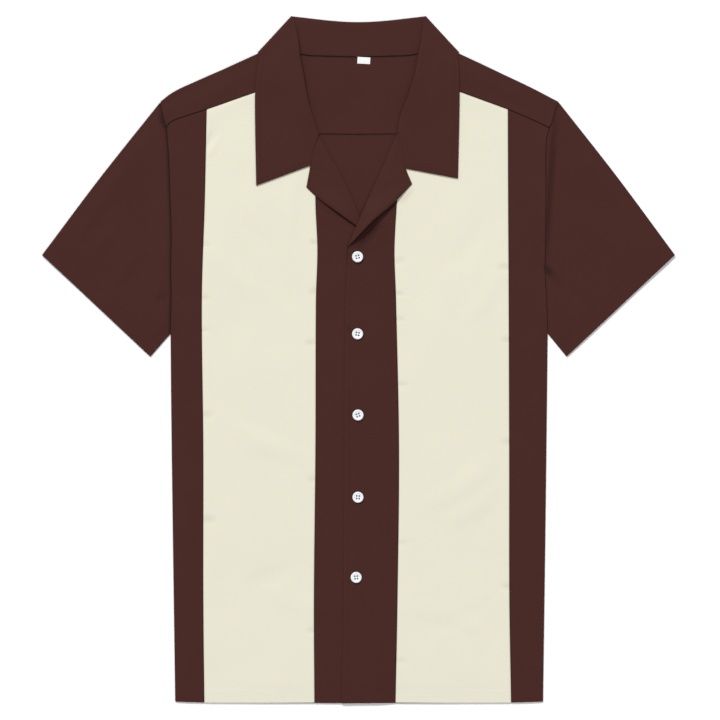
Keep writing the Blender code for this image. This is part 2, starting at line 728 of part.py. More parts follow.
def build_button(number, place, cloth):
    """Turned disc with a raised rim and four holes, resting on the left front."""
    radius = BUTTON_DIAMETER / 2
    dish = radius - BUTTON_RIM
    profile = ((0.0, 0.0), (radius - 1.2, 0.0), (radius, 0.9), (radius, BUTTON_THICKNESS - 0.9),
               (radius - 0.8, BUTTON_THICKNESS), (dish + 0.4, BUTTON_THICKNESS),
               (dish - 0.4, BUTTON_THICKNESS - BUTTON_DISH), (0.0, BUTTON_THICKNESS - BUTTON_DISH))
    bm = bmesh.new()
    verts = [bm.verts.new(Vector((x, 0.0, z)) * MM) for x, z in profile]
    edges = [bm.edges.new(pair) for pair in zip(verts, verts[1:])]
    bmesh.ops.spin(bm, geom=verts + edges, axis=(0.0, 0.0, 1.0), cent=(0.0, 0.0, 0.0),
                   angle=math.tau, steps=BUTTON_SIDES, use_merge=True)
    bmesh.ops.remove_doubles(bm, verts=bm.verts, dist=0.00001)
    bmesh.ops.recalc_face_normals(bm, faces=bm.faces)
    mesh = bpy.data.meshes.new("button")
    bm.to_mesh(mesh)
    bm.free()
    button = bpy.data.objects.new("button_" + str(number), mesh)
    bpy.context.collection.objects.link(button)
    bottom = top_under(cloth, place, radius) + GAP
    button.location = Vector((place.x, place.y, bottom)) * MM
    for index in range(4):
        angle = math.radians(45.0 + 90.0 * index)
        offset = Vector((math.cos(angle), math.sin(angle), 0.0)) * BUTTON_HOLE_OFFSET * math.sqrt(2.0)
        cut_hole(button, offset)
    finish_look(button, WHITE, roughness=0.25)


def cut_hole(button, offset):
    bm = bmesh.new()
    bmesh.ops.create_cone(bm, cap_ends=True, segments=8, radius1=BUTTON_HOLE_DIAMETER / 2 * MM,
                          radius2=BUTTON_HOLE_DIAMETER / 2 * MM, depth=4 * BUTTON_THICKNESS * MM)
    mesh = bpy.data.meshes.new("hole")
    bm.to_mesh(mesh)
    bm.free()
    cutter = bpy.data.objects.new("hole", mesh)
    bpy.context.collection.objects.link(cutter)
    cutter.parent = button
    cutter.location = offset * MM
    cutter.hide_render = True
    cutter.display_type = "WIRE"
    cut = button.modifiers.new("hole", "BOOLEAN")
    cut.operation = "DIFFERENCE"
    cut.solver = "EXACT"
    cut.object = cutter


def main():
    for thing in list(bpy.data.objects):
        bpy.data.objects.remove(thing, do_unlink=True)
    build_back()
    build_yoke()
    for side_name, side in SIDES.items():
        build_front_side(side_name, side)
        build_front_panel(side_name, side)
        build_front_centre(side_name, side)
        build_sleeve(side_name, side)
    build_collar()
    build_label()
    for number, place in enumerate(BUTTONS, start=1):
        build_button(number, place, bpy.data.objects["front_centre_left"])


main()
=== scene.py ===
import math
from collections import namedtuple
from functools import partial

import bmesh
import bpy
from mathutils import Matrix, Vector, noise
from mathutils.bvhtree import BVHTree
from mathutils.kdtree import KDTree


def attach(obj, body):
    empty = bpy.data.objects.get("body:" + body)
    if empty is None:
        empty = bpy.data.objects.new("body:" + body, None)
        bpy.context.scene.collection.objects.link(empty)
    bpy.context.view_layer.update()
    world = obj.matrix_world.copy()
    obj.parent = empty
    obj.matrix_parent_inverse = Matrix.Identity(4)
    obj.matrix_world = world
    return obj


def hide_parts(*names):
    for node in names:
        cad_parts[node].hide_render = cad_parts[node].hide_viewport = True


# Short-sleeved shirt, buttoned and laid flat on its back, face up.
# X to the viewer's right, Y towards the collar, Z up. Right and left are the wearer's.
# Lengths are millimetres until the vertices are placed, and flat cuts are metres.

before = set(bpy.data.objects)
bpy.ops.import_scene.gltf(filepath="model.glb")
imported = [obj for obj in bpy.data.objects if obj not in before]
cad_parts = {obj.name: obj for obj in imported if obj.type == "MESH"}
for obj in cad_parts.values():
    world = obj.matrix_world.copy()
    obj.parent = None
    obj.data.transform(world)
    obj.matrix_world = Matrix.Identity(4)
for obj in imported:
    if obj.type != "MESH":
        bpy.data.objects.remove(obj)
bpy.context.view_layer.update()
mm = 0.001
down = Vector((0.0, 0.0, -1.0))
scene = bpy.context.scene
scene.view_settings.view_transform = "Standard"

cloth = {
    "wall": 0.8,
    "ply": 1.3,              # from the middle of one layer to the middle of the next
    "lowest": 0.42,
    "halfGap": 0.05,         # half the line left open at a seam
    "cell": 5.0,
    "weld": 0.01,            # vertices nearer than this become one
    "rimBevel": 0.22,
    "rimAngle": 58.0,
    "foldSteps": 8,
    "hemStitch": 12.2,
    "cuffStitch": 19.2,
    "hemToUnderarm": 433.0,
    "rim": (0.0, 0.6, 1.3, 2.2, 4.0, 7.0),       # how far in from an edge the rows of cells stand
    "shortRim": (0.0, 0.6, 1.3, 2.4, 4.5),
    "hemRim": (0.0, 0.6, 1.6, 4.0, 7.5, 10.4, 11.3, 12.2, 13.1, 14.2, 17.0),
}
body = {
    "hemY": -401.9, "hemRise": 2.0, "hemHalfWidth": 214.5, "hemReach": 216.0,
    "underarmY": 31.0,
    "shoulderTip": (233.0, 300.0),
    "shoulderNeck": (88.5, 370.5),
    "shoulderBend": {
        "right": ((220.5, 308.4), (208.8, 315.2), (197.0, 320.6), (174.0, 330.8), (150.0, 341.3)),
        "left": ((200.0, 317.2), (160.0, 336.1)),
    },
    "yokeSeamTipY": 271.0,
    "yokeSeamNeck": (82.5, 326.0),
    "yokeSeamBend": {"right": ((221.9, 275.4), (216.4, 279.4), (200.0, 285.2)), "left": ((205.0, 279.6),)},
    "backSeamY": 263.5, "backSeamBend": (120.0, 265.5),
    "cuffTop": (368.8, 121.2), "cuffBottom": (244.2, 4.2),
    "sleeveBow": 1.6,
}
layers = {
    "liftStartY": 272.0, "liftHalfWidth": 182.0, "liftRun": 60.0,
    "foldPuff": 1.2, "foldRun": 60.0, "collarReach": 100.0, "collarRun": 55.0,
    "overlapEndX": 44.0, "overlapRun": 24.0, "overlapTopY": 205.0, "overlapTopRun": 28.0,
    "lapelTail": (5.0, 154.0), "lapelTailReach": 36.0, "lapelTailRun": 18.0,
}

# Distance of a seam from the centre line at each level, for the two sides.
Level = namedtuple("Level", "y right left")
armholeLevels = (
    Level(300.0, 230.8, 233.0), Level(289.0, 228.8, 229.4), Level(278.0, 226.4, 226.3),
    Level(271.0, 224.5, 222.9), Level(258.0, 222.9, 219.6), Level(237.0, 221.4, 218.7),
    Level(190.0, 219.7, 218.8), Level(144.0, 218.4, 218.6), Level(105.0, 219.0, 217.8),
    Level(75.0, 218.4, 219.2), Level(31.0, 219.8, 221.2),
)
sideSeamLevels = (
    Level(31.0, 219.8, 221.2), Level(-60.0, 219.0, 220.2), Level(-200.0, 217.2, 218.5),
    Level(-400.0, 214.3, 215.7),
)
outerSeamLevels = (
    Level(292.6, 177.4, 174.6), Level(185.0, 179.6, 175.0), Level(70.0, 183.1, 175.6),
    Level(-105.0, 181.4, 176.2), Level(-280.0, 181.4, 176.4), Level(-401.0, 180.2, 178.4),
)
innerSeamLevels = (
    Level(263.5, 48.6, 48.4), Level(187.0, 50.3, 45.0), Level(128.0, 48.0, 42.1),
    Level(70.0, 49.7, 43.9), Level(-105.0, 50.3, 47.4), Level(-280.0, 52.1, 45.6),
    Level(-401.0, 51.5, 43.3),
)
neckBack = ((0.0, 353.8), (36.0, 354.6), (69.0, 357.4), body["shoulderNeck"])
neckYoke = (body["shoulderNeck"], (87.5, 350.0), body["yokeSeamNeck"])
leafBack = ((0.0, 335.0), (45.0, 337.5), (88.0, 345.0), (116.2, 357.4))
rollBack = ((0.0, 393.2), (14.0, 393.5), (38.0, 395.4), (77.0, 400.0))

Side = namedtuple("Side", (
    "sign", "neckFront", "rollFront", "leafFront", "gorge", "point",
    "lapelPoint", "lapelLower", "lapelLength", "roll", "frontEdge",
))
sides = {
    "right": Side(
        sign=-1,
        neckFront=(body["yokeSeamNeck"], (72.0, 300.0), (60.0, 279.0), (48.6, 263.5)),
        rollFront=((77.0, 400.0), (73.0, 383.0), (70.2, 358.7), (66.6, 336.5), (60.2, 302.6),
                   (52.1, 276.5), (46.9, 261.9)),
        leafFront=((116.2, 357.4), (119.4, 330.0), (121.0, 300.0), (119.5, 203.1)),
        gorge=((46.9, 261.8), (52.8, 245.2), (56.1, 226.9)),
        point=(119.5, 203.1),
        lapelPoint=(60.9, 201.4),
        lapelLower=((-7.6, 149.3), (2.9, 156.9), (49.4, 190.7), (60.9, 201.4)),
        lapelLength=90.0,
        roll=((-7.6, 149.3), (7.0, 185.6), (22.8, 218.3), (39.2, 246.4), (46.9, 261.8)),
        frontEdge=((-14.0, -402.0), (-12.0, -100.0), (-7.6, 149.3)),
    ),
    "left": Side(
        sign=1,
        neckFront=(body["yokeSeamNeck"], (72.0, 302.0), (60.0, 282.0), (48.4, 263.5)),
        rollFront=((77.0, 400.0), (74.8, 372.0), (72.0, 358.0), (68.0, 334.0), (58.8, 304.5),
                   (50.0, 284.0), (46.4, 265.3)),
        leafFront=((116.2, 357.4), (118.0, 314.0), (116.2, 211.5)),
        gorge=((46.4, 265.2), (51.8, 245.2), (54.9, 223.2)),
        point=(116.2, 211.5),
        lapelPoint=(62.6, 205.5),
        lapelLower=((-12.3, 131.7), (18.1, 163.3), (41.5, 183.2), (62.6, 205.5)),
        lapelLength=105.0,
        roll=((-12.3, 131.7), (17.0, 198.4), (46.4, 265.2)),
        frontEdge=((-19.8, -402.0), (-17.3, -260.0), (-15.8, 40.0), (-12.3, 131.7)),
    ),
}


def ramp(value):
    value = min(1.0, max(0.0, value))
    return value * value * (3.0 - 2.0 * value)


def mixed(low, high, share):
    return low + (high - low) * share


def through(points):
    # smooth curve through the points, read by its share of the length
    knots = [Vector((point[0], point[1])) for point in points]
    marks = [0.0]
    for before, after in zip(knots, knots[1:]):
        marks.append(marks[-1] + (after - before).length)
    slopes = []
    for index in range(len(knots)):
        before = max(index - 1, 0)
        after = min(index + 1, len(knots) - 1)
        slopes.append((knots[after] - knots[before]) / (marks[after] - marks[before]))

    def read(t):
        reach = min(1.0, max(0.0, t)) * marks[-1]
        index = 0
        while index < len(knots) - 2 and reach > marks[index + 1]:
            index += 1
        span = marks[index + 1] - marks[index]
        share = (reach - marks[index]) / span
        square = share * share
        cube = square * share
        place = knots[index] * (2 * cube - 3 * square + 1) + knots[index + 1] * (3 * square - 2 * cube)
        lean = slopes[index] * (cube - 2 * square + share) + slopes[index + 1] * (cube - square)
        return place + lean * span

    return read


def partOf(curve, start, end):
    return lambda t: curve(start + (end - start) * t)


def backwards(curve):
    return partOf(curve, 1.0, 0.0)


def joined(first, share, second):
    return lambda t: first(t / share) if t <= share else second((t - share) / (1.0 - share))


def moved(curve, x=0.0, y=0.0):
    return lambda t: curve(t) + Vector((x, y))


def signed(curve, sign):
    return lambda t: Vector((sign * curve(t).x, curve(t).y))


def drawnIn(curve, target, distance):
    return lambda t: curve(t) + (target(t) - curve(t)).normalized() * distance


def inset(curve, amount):
    # the line moved to its left by the amount
    def read(t):
        run = (curve(min(1.0, t + 0.01)) - curve(max(0.0, t - 0.01))).normalized()
        return curve(t) + Vector((-run.y, run.x)) * amount
    return read


def straight(start, end):
    return lambda t: Vector(start).lerp(Vector(end), t)


def endingAt(curve, start, end):
    first = Vector(start) - curve(0.0)
    last = Vector(end) - curve(1.0)
    return lambda t: curve(t) + first.lerp(last, t)


def turnedTo(curve, end):
    # the last seventh turns aside to the end
    shift = Vector(end) - curve(1.0)
    return lambda t: curve(t) + shift * ramp(t * 7.0 - 6.0)


def turnedFrom(curve, start, share):
    shift = Vector(start) - curve(0.0)
    return lambda t: curve(t) + shift * ramp(1.0 - t / share)


def seam(levels, sideName):
    return through([(getattr(level, sideName), level.y) for level in levels])


def heightShare(curve, y):
    # share of the curve's length at which it passes the level
    low, high = (0.0, 1.0) if curve(1.0).y > curve(0.0).y else (1.0, 0.0)
    for _ in range(40):
        middle = (low + high) / 2
        if curve(middle).y < y:
            low = middle
        else:
            high = middle
    return low


def patch(u, v, west, east, south, north):
    # point of the sheet that four border curves enclose
    edges = west(v).lerp(east(v), u)
    ends = south(u).lerp(north(u), v)
    corners = south(0.0).lerp(south(1.0), u).lerp(north(0.0).lerp(north(1.0), u), v)
    return edges + ends - corners


def hemY(x):
    return body["hemY"] + body["hemRise"] * (x / body["hemHalfWidth"]) ** 2


def hem(startX, endX):
    def read(t):
        x = mixed(startX, endX, t)
        return Vector((x, hemY(x)))
    return read


def hemRow(startX, endX, sign):
    return signed(moved(hem(startX, endX), y=cloth["hemStitch"]), sign)


def outwardOf(start, end):
    run = (Vector(end) - Vector(start)).normalized()
    return Vector((-run.y, run.x))


def armholeCurves(sideName):
    # below the yoke seam, and beside the yoke
    curve = seam(armholeLevels, sideName)
    turn = heightShare(curve, body["yokeSeamTipY"])
    return partOf(curve, 1.0, turn), partOf(curve, turn, 0.0)


def yokeSeam(sideName):
    tip = armholeCurves(sideName)[0](1.0)
    middle = seam(outerSeamLevels, sideName)(0.0)
    outer = through((tip, *body["yokeSeamBend"][sideName], middle))
    return outer, straight(middle, Vector(body["yokeSeamNeck"]))


def backSeamKnots(endShift, bendShift, armholeEnd):
    bendX, bendY = body["backSeamBend"]
    return (0.0, body["backSeamY"] + endShift), (bendX, bendY + bendShift), armholeEnd


def frontCurves(sideName, levels):
    curve = seam(levels, sideName)
    turn = heightShare(curve, body["underarmY"])
    return partOf(curve, 1.0, turn), partOf(curve, turn, 0.0)


def centreCurves(sideName, side):
    curve = seam(innerSeamLevels, sideName)
    turn = heightShare(curve, body["underarmY"])
    rollTurn = heightShare(curve, side.roll[0][1])
    return partOf(curve, 1.0, turn), partOf(curve, turn, rollTurn), partOf(curve, rollTurn, 0.0)


lineSpacing = 0.7    # between the points by which the distance to a line is found


def lineTree(lines):
    points = []
    for sign, curve, length in lines:
        steps = int(length / lineSpacing)
        for index in range(steps + 1):
            point = curve(index / steps)
            points.append((sign * point.x, point.y, 0.0))
    tree = KDTree(len(points))
    for index, point in enumerate(points):
        tree.insert(point, index)
    tree.balance()
    return tree


def marksOf(sideName, side):
    # each line that shapes the cloth, with its rough length
    below = armholeCurves(sideName)[0]
    sideTop, panelTop = yokeSeam(sideName)
    return (
        ("seam", seam(outerSeamLevels, sideName), 700.0),
        ("seam", seam(innerSeamLevels, sideName), 670.0),
        ("yoke", sideTop, 60.0),
        ("yoke", panelTop, 110.0),
        ("armhole", seam(armholeLevels, sideName), 280.0),
        ("closed", seam(sideSeamLevels, sideName), 440.0),
        ("closed", straight(below(0.0), body["cuffBottom"]), 40.0),
        ("hem", hem(0.0, body["hemReach"]), body["hemReach"]),
        ("cuff", straight(body["cuffBottom"], body["cuffTop"]), 172.0),
        ("backYoke", through(backSeamKnots(0.0, 0.0, below(1.0))), 240.0),
        ("neck", through(neckBack), 92.0),
        ("lapel " + sideName, through(side.lapelLower), side.lapelLength),
    )


marked = {}
for sideName, side in sides.items():
    for lineName, curve, length in marksOf(sideName, side):
        marked.setdefault(lineName, []).append((side.sign, curve, length))
trees = {lineName: lineTree(lines) for lineName, lines in marked.items()}


def distance(line, x, y):
    return trees[line].find((x, y, 0.0))[2]


def foldDistance(x, y):
    # how far inside the folds along the shoulder and the top of the sleeve
    point = Vector((abs(x), y))
    found = []
    for start, end in ((body["shoulderNeck"], body["shoulderTip"]), (body["shoulderTip"], body["cuffTop"])):
        found.append(-(point - Vector(start)).dot(outwardOf(start, end)))
    return min(found)


# Soft creases: start, end, bow sideways, half width, height (troughs are negative), and their painted shade.
Crease = namedtuple("Crease", "x1 y1 x2 y2 bow width rise shade", defaults=(0.0,))
frontCreases = (
    Crease(-232.5, 293, -221, 262, 1.5, 4.2, -1.0, 0.9),      # dart-like fold at the armhole's top
    Crease(-168, 273, -176.5, 240, 1.0, 5.0, -0.9, 0.1),
    Crease(-176, 236, -164, 262, 1.0, 5.0, 0.5),
    Crease(216, 114, 229, 95, 1.0, 6.0, -1.0, 1.0),
    Crease(222, 106, 246, 80, 3.0, 6.0, -0.9, 0.15),
    Crease(234.5, 330, 219.3, 78, 2.6, 5.2, -0.9, 0.85),      # the sleeve head rolls over its seam
    Crease(-12.5, 136, -12.2, 104, 0.6, 3.2, -0.4, 0.4),
    # painted shadow under the lifted lapel here, and below the lapel's point on the next line
    Crease(-11, 123, 31, 167, 0.0, 9.0, -0.3, 0.75),          # under the lifted lapel
    Crease(45, 179, 67, 203, 0.0, 5.5, -0.2, 0.6),
    Crease(-14.5, 39, -5.5, 30, 0.5, 3.2, -0.4, 0.45),
    Crease(-14.5, -58, -5.5, -66, 0.5, 3.0, -0.3, 0.2),
    Crease(-219, 76, -240, 66, 2.0, 4.5, -0.8, 0.4),
    Crease(-214, 78, -196, 60, -3.0, 5.0, -0.35),
    Crease(216, 60, 196, 20, 4.0, 9.0, -0.4),
    Crease(-214, 40, -188, -8, 5.0, 10.0, -0.4),
    Crease(205, 150, 188, 96, -4.0, 8.0, 0.35),
    Crease(-150, 205, -92, 118, 9.0, 15.0, -0.35),
    Crease(150, 175, 82, 92, -10.0, 17.0, -0.35),
    Crease(-165, -55, -75, -112, 12.0, 19.0, 0.45),
    Crease(168, -140, 88, -196, -9.0, 18.0, 0.45),
    Crease(-140, -262, -66, -232, 8.0, 16.0, -0.35),
    Crease(72, -318, 160, -276, 8.0, 15.0, -0.3),
    Crease(-205, -150, -190, -255, 5.0, 10.0, 0.35),
    Crease(203, -90, 186, -190, -5.0, 10.0, 0.3),
    Crease(-36, -4, -26, -92, 3.0, 9.0, 0.25),
    Crease(28, 68, 36, -28, -3.0, 9.0, 0.25),
    Crease(-262, 196, -322, 128, 8.0, 12.0, -0.45),
    Crease(-246, 132, -288, 74, 6.0, 10.0, 0.45),
    Crease(258, 208, 318, 146, -8.0, 12.0, -0.4),
    Crease(244, 150, 276, 66, -6.0, 9.0, 0.45),
    Crease(-300, 178, -336, 118, 4.0, 9.0, 0.35),
    Crease(-196, 288, -132, 318, 4.0, 10.0, -0.3),
    Crease(140, 322, 205, 290, 4.0, 10.0, -0.3),
)
backCreases = (
    Crease(-196, 168, -92, 62, 14.0, 20.0, 0.7),
    Crease(186, 152, 112, 34, -12.0, 17.0, 0.6),
    Crease(-60, 248, -78, 118, 9.0, 13.0, 0.45),
    Crease(24, 236, 44, 96, -8.0, 15.0, 0.5),
    Crease(-150, -60, -32, -118, 15.0, 22.0, 0.6),
    Crease(176, -92, 58, -176, -14.0, 20.0, 0.65),
    Crease(-128, -250, -20, -300, 10.0, 18.0, 0.45),
    Crease(40, -286, 168, -330, -9.0, 17.0, 0.4),
    Crease(-260, 168, -318, 104, 8.0, 13.0, 0.5),
    Crease(252, 182, 306, 96, -9.0, 14.0, 0.5),
)
puckers = {
    "length": 25.0, "width": 5.2, "bow": 0.6, "depth": 0.62, "shade": 0.5,
    "outerX": 110.0,         # seams further out than this are pulled towards the middle
    "starts": (
        (-182, 134), (-182.5, 73), (-182, 35), (-49, 136), (-49.5, 78), (-50, 19), (43, 114), (43.5, 77),
        (45, 46), (47, -30), (175.5, 107), (176, 23), (-181, -64), (-181, -188), (-51, -142), (-52, -318),
        (176, -98), (177, -266), (46, -214), (44, -352),
    ),
}


def pucker(x, y):
    # a short pull in the cream cloth that starts at the seam, each a little different, with painted shade in
    # its trough
    inward = math.copysign(puckers["length"], x) * (-1.0 if abs(x) > puckers["outerX"] else 1.0)
    return Crease(
        x - 0.2 * inward, y + 1.2 * math.sin(y),
        x + inward * (0.52 + 0.14 * math.cos(y)), y - math.cos(x * 3.0),
        puckers["bow"], puckers["width"] * (1.0 + 0.3 * math.sin(3.0 * y)),
        -puckers["depth"], puckers["shade"] * (0.7 + 0.3 * math.sin(5.0 * y)),
    )


frontCreases += tuple(pucker(x, y) for x, y in puckers["starts"])
binSize = 20.0


def binOf(x, y):
    return int(x // binSize), int(y // binSize)


def creaseBins(creases):
    # the creases that reach each square of the cloth
    bins = {}
    for crease in creases:
        reach = crease.width + abs(crease.bow) + 1.0
        lowX, lowY = binOf(min(crease.x1, crease.x2) - reach, min(crease.y1, crease.y2) - reach)
        highX, highY = binOf(max(crease.x1, crease.x2) + reach, max(crease.y1, crease.y2) + reach)
        for column in range(lowX, highX + 1):
            for row in range(lowY, highY + 1):
                bins.setdefault((column, row), []).append(crease)
    return bins


frontBins = creaseBins(frontCreases)
backBins = creaseBins(backCreases)


def creaseShare(crease, x, y):
    # 1 at the middle of the crease, falling to 0 at its sides and ends
    dx, dy = crease.x2 - crease.x1, crease.y2 - crease.y1
    length = math.hypot(dx, dy)
    along = ((x - crease.x1) * dx + (y - crease.y1) * dy) / length ** 2
    if not 0.0 < along < 1.0:
        return 0.0
    across = ((x - crease.x1) * dy - (y - crease.y1) * dx) / length - crease.bow * 4.0 * along * (1.0 - along)
    share = abs(across) / (crease.width * (0.55 + 0.45 * math.sin(math.pi * along)))
    if share >= 1.0:
        return 0.0
    return (1.0 - share * share) ** 2 * ramp(min(along, 1.0 - along) / 0.4)


def creaseRise(bins, x, y):
    return sum(crease.rise * creaseShare(crease, x, y) for crease in bins.get(binOf(x, y), ()))


# painted shade in the creases: the darkest of those that reach the point
def creaseShade(x, y):
    near = frontBins.get(binOf(x, y), ())
    return max([creaseShare(crease, x, y) * crease.shade for crease in near if crease.shade] or [0.0])


Wave = namedtuple("Wave", "height spanX spanY seed")
drape = {
    "air": 0.9,               # how far the upper layers stand off, away from closed edges
    "airRun": 16.0,
    "wide": Wave(1.1, 120.0, 120.0, 1.7),
    "fine": Wave(0.46, 38.0, 60.8, 8.1),
    "back": Wave(0.3, 95.0, 95.0, 4.2),
    "ripple": Wave(0.2, 30.0, 7.5, 3.3), "rippleReach": 7.0,
    "creaseGain": 1.35,
    "flattest": -0.1,
    "openEdge": 0.35, "openEdgeRun": 26.0,        # share of the relief that is left at the hem and cuffs
    "neck": 0.25, "neckY": 262.0, "neckSquash": 0.62, "neckRadius": 40.0, "neckRun": 45.0,
}

# Rise of the cloth at a line, and how far from the line it ends.
Relief = namedtuple("Relief", "rise width")
reliefs = {
    "panelSeam": Relief(-0.42, 1.5),
    "yokeSeam": Relief(-0.55, 2.6),
    "yokeTurning": Relief(0.32, 7.0),
    "yokeEdge": Relief(-0.3, 0.8),
    "armholeTurning": Relief(0.4, 7.0),
    "closedEdge": Relief(-0.4, 2.2),
    "frontEdge": Relief(-0.4, 2.0),
    "sleeveHead": Relief(-0.45, 6.0),
    "sleeveSeam": Relief(-0.45, 1.4),
    "freeSleeveSeam": Relief(-0.2, 1.4),
    "backTurning": Relief(0.12, 5.0),
    "hemStitch": Relief(-0.14, 0.9),
    "cuffStitch": Relief(-0.05, 0.9),
    "lapelStitch": Relief(-0.12, 0.9),
    "collarStitch": Relief(-0.2, 1.3),
}
turnings = {"hem": 0.22, "hemEnd": 13.6, "hemRun": 1.2, "cuff": 0.1, "cuffEnd": 20.8, "cuffRun": 1.6}


def waveHeight(wave, x, y):
    return noise.noise(Vector((x / wave.spanX, y / wave.spanY, wave.seed))) * wave.height


def beside(gap, reliefName):
    relief = reliefs[reliefName]
    return relief.rise * (1.0 - ramp(gap / relief.width))


def closedShare(x, y):
    nearest = min(distance("closed", x, y), max(0.0, foldDistance(x, y)))
    return ramp(nearest / drape["airRun"])


def lift(x, y):
    # the back rises over the collar's leaf, which lies under it
    along = ramp((y - layers["liftStartY"]) / layers["liftRun"])
    return cloth["ply"] * along * ramp((layers["liftHalfWidth"] - abs(x)) / layers["liftRun"])


def lowerHeight(x, y):
    rise = max(0.0, creaseRise(backBins, x, y) + waveHeight(drape["back"], x, y))
    return cloth["lowest"] + lift(x, y) + rise * closedShare(x, y)


def overlapHeight(x, y):
    # what lies under the left front: the right front's edge and the tail of its lapel
    overFront = ramp((layers["overlapEndX"] - x) / layers["overlapRun"])
    overFront *= ramp((layers["overlapTopY"] - y) / layers["overlapTopRun"])
    tail = (Vector((x, y)) - Vector(layers["lapelTail"])).length
    return cloth["ply"] * (overFront + ramp((layers["lapelTailReach"] - tail) / layers["lapelTailRun"]))


def upperHeight(x, y):
    puff = layers["foldPuff"] * ramp(1.0 - foldDistance(x, y) / layers["foldRun"])
    puff *= ramp((abs(x) - layers["collarReach"]) / layers["collarRun"])
    openGap = min(distance("cuff", x, y), distance("hem", x, y))
    neckGap = math.hypot(x, (y - drape["neckY"]) * drape["neckSquash"]) - drape["neckRadius"]
    share = closedShare(x, y)
    share *= mixed(drape["openEdge"], 1.0, ramp(openGap / drape["openEdgeRun"]))
    share *= mixed(drape["neck"], 1.0, ramp(neckGap / drape["neckRun"]))
    waves = waveHeight(drape["wide"], x, y) + waveHeight(drape["fine"], x, y)
    creases = creaseRise(frontBins, x, y) * drape["creaseGain"]
    relief = max(drape["flattest"], drape["air"] + waves + creases) * share
    return lowerHeight(x, y) + cloth["ply"] + puff + relief


def seamRipple(gap, x, y):
    share = 1.0 - ramp(gap / drape["rippleReach"])
    return waveHeight(drape["ripple"], x, y) * share if share > 0.0 else 0.0


def turning(gap, name):
    # the step at the end of a turned-up edge
    return turnings[name] * ramp((turnings[name + "End"] - gap) / turnings[name + "Run"])


def frontHeight(x, y, sign):
    height = upperHeight(x, y) + (overlapHeight(x, y) if sign > 0 else 0.0)
    seamGap = distance("seam", x, y)
    hemGap = distance("hem", x, y)
    height += beside(seamGap, "panelSeam") + seamRipple(seamGap, x, y)
    height += beside(distance("yoke", x, y), "yokeSeam") + beside(distance("armhole", x, y), "armholeTurning")
    height += turning(hemGap, "hem") + beside(abs(hemGap - cloth["hemStitch"]), "hemStitch")
    return height + beside(distance("closed", x, y), "closedEdge")


def yokeFrontHeight(x, y):
    gap = distance("yoke", x, y)
    height = upperHeight(x, y) + beside(gap, "yokeTurning") + beside(gap, "yokeEdge")
    return height + seamRipple(gap, y, x) + beside(distance("armhole", x, y), "armholeTurning")


def sleeveHeight(x, y):
    gap = distance("armhole", x, y)
    cuffGap = distance("cuff", x, y)
    free = closedShare(x, y)
    height = upperHeight(x, y) + free * beside(gap, "sleeveHead") + seamRipple(gap, x, y)
    height += beside(gap, "sleeveSeam") + free * beside(gap, "freeSleeveSeam")
    return height + turning(cuffGap, "cuff") + beside(abs(cuffGap - cloth["cuffStitch"]), "cuffStitch")


def backHeight(x, y):
    gap = min(distance("backYoke", x, y), distance("armhole", x, y))
    return lowerHeight(x, y) + beside(gap, "backTurning")


def stops(length, start=(), end=(), cell=None):
    # shares of the length where rows of cells stand, closer at the given distances from either end
    cell = cell or cloth["cell"]
    first = start[-1] if start else 0.0
    last = end[-1] if end else 0.0
    count = max(1, math.ceil((length - first - last) / cell))
    marks = list(start[:-1]) if start else []
    marks += [first + (length - first - last) * index / count for index in range(count + 1)]
    marks += [length - mark for mark in reversed(end[:-1])] if end else []
    return [mark / length for mark in marks]


def joinedStops(first, share, second):
    return [share * stop for stop in first[:-1]] + [share + (1.0 - share) * stop for stop in second]


def even(count):
    return [index / count for index in range(count + 1)]


def addSheet(bm, columns, rows, place):
    made = bmesh.ops.create_grid(bm, x_segments=len(columns) - 1, y_segments=len(rows) - 1, size=0.5)
    for vert in made["verts"]:
        u = columns[round((vert.co.x + 0.5) * (len(columns) - 1))]
        v = rows[round((vert.co.y + 0.5) * (len(rows) - 1))]
        vert.co = place(u, v) * mm


def flatPlace(sign, borders, height):
    def place(u, v):
        point = patch(u, v, *borders)
        x = sign * point.x
        return Vector((x, point.y, height(x, point.y)))
    return place


def laySheets(bm, sign, height, columns, *parts):
    # each part is its rows of cells and its four borders
    for rows, borders in parts:
        addSheet(bm, columns, rows, flatPlace(sign, borders, height))


def hemRows(cell=None):
    return stops(cloth["hemToUnderarm"], start=cloth["hemRim"], cell=cell)


def turnPlace(sign, line, outward, low, high):
    # half turn along a line, u round the turn and v along it
    def place(u, v):
        point = line(v)
        bottom = low(v)
        radius = (high(v) - bottom) / 2
        reach = outward(v) * radius * math.sin(u * math.pi)
        rise = radius * (1.0 - math.cos(u * math.pi))
        return Vector((sign * (point.x + reach.x), point.y + reach.y, bottom + rise))
    return place


def heightAlong(line, sign, height):
    return lambda v: height(sign * line(v).x, line(v).y)


def foldPlace(sign, line, outward, low, high):
    lowAlong, highAlong = (heightAlong(line, sign, height) for height in (low, high))
    return turnPlace(sign, line, lambda v: outward, lowAlong, highAlong)


finish = {
    # the second colour on the brown and on the cream cloth line below is painted shade, mixed into that cloth
    # at its seams, in its creases and under the lapels
    "brown": (0.0537, 0.0162, 0.0129), "brownPaintedShade": (0.009, 0.003, 0.0025),
    "brownThread": (0.0430, 0.0130, 0.0105),
    "cream": (0.721, 0.697, 0.571), "creamPaintedShade": (0.47, 0.44, 0.34),
    "creamThread": (0.705, 0.685, 0.555),
    "label": (0.86, 0.87, 0.86), "labelThread": (0.75, 0.77, 0.76),
    "resinShade": (0.80, 0.815, 0.84), "resinLight": (0.93, 0.93, 0.925),
    "buttonThread": (0.55, 0.55, 0.54),
    "floor": (0.97, 0.97, 0.97),
    "yarn": 0.34,                # from one thread of the weave to the next
    "labelRib": 0.36, "labelEnd": 0.24,
}


def newMaterial(name):
    material = bpy.data.materials.new(name)
    material.use_nodes = True
    tree = material.node_tree
    return material, tree, tree.nodes["Principled BSDF"]


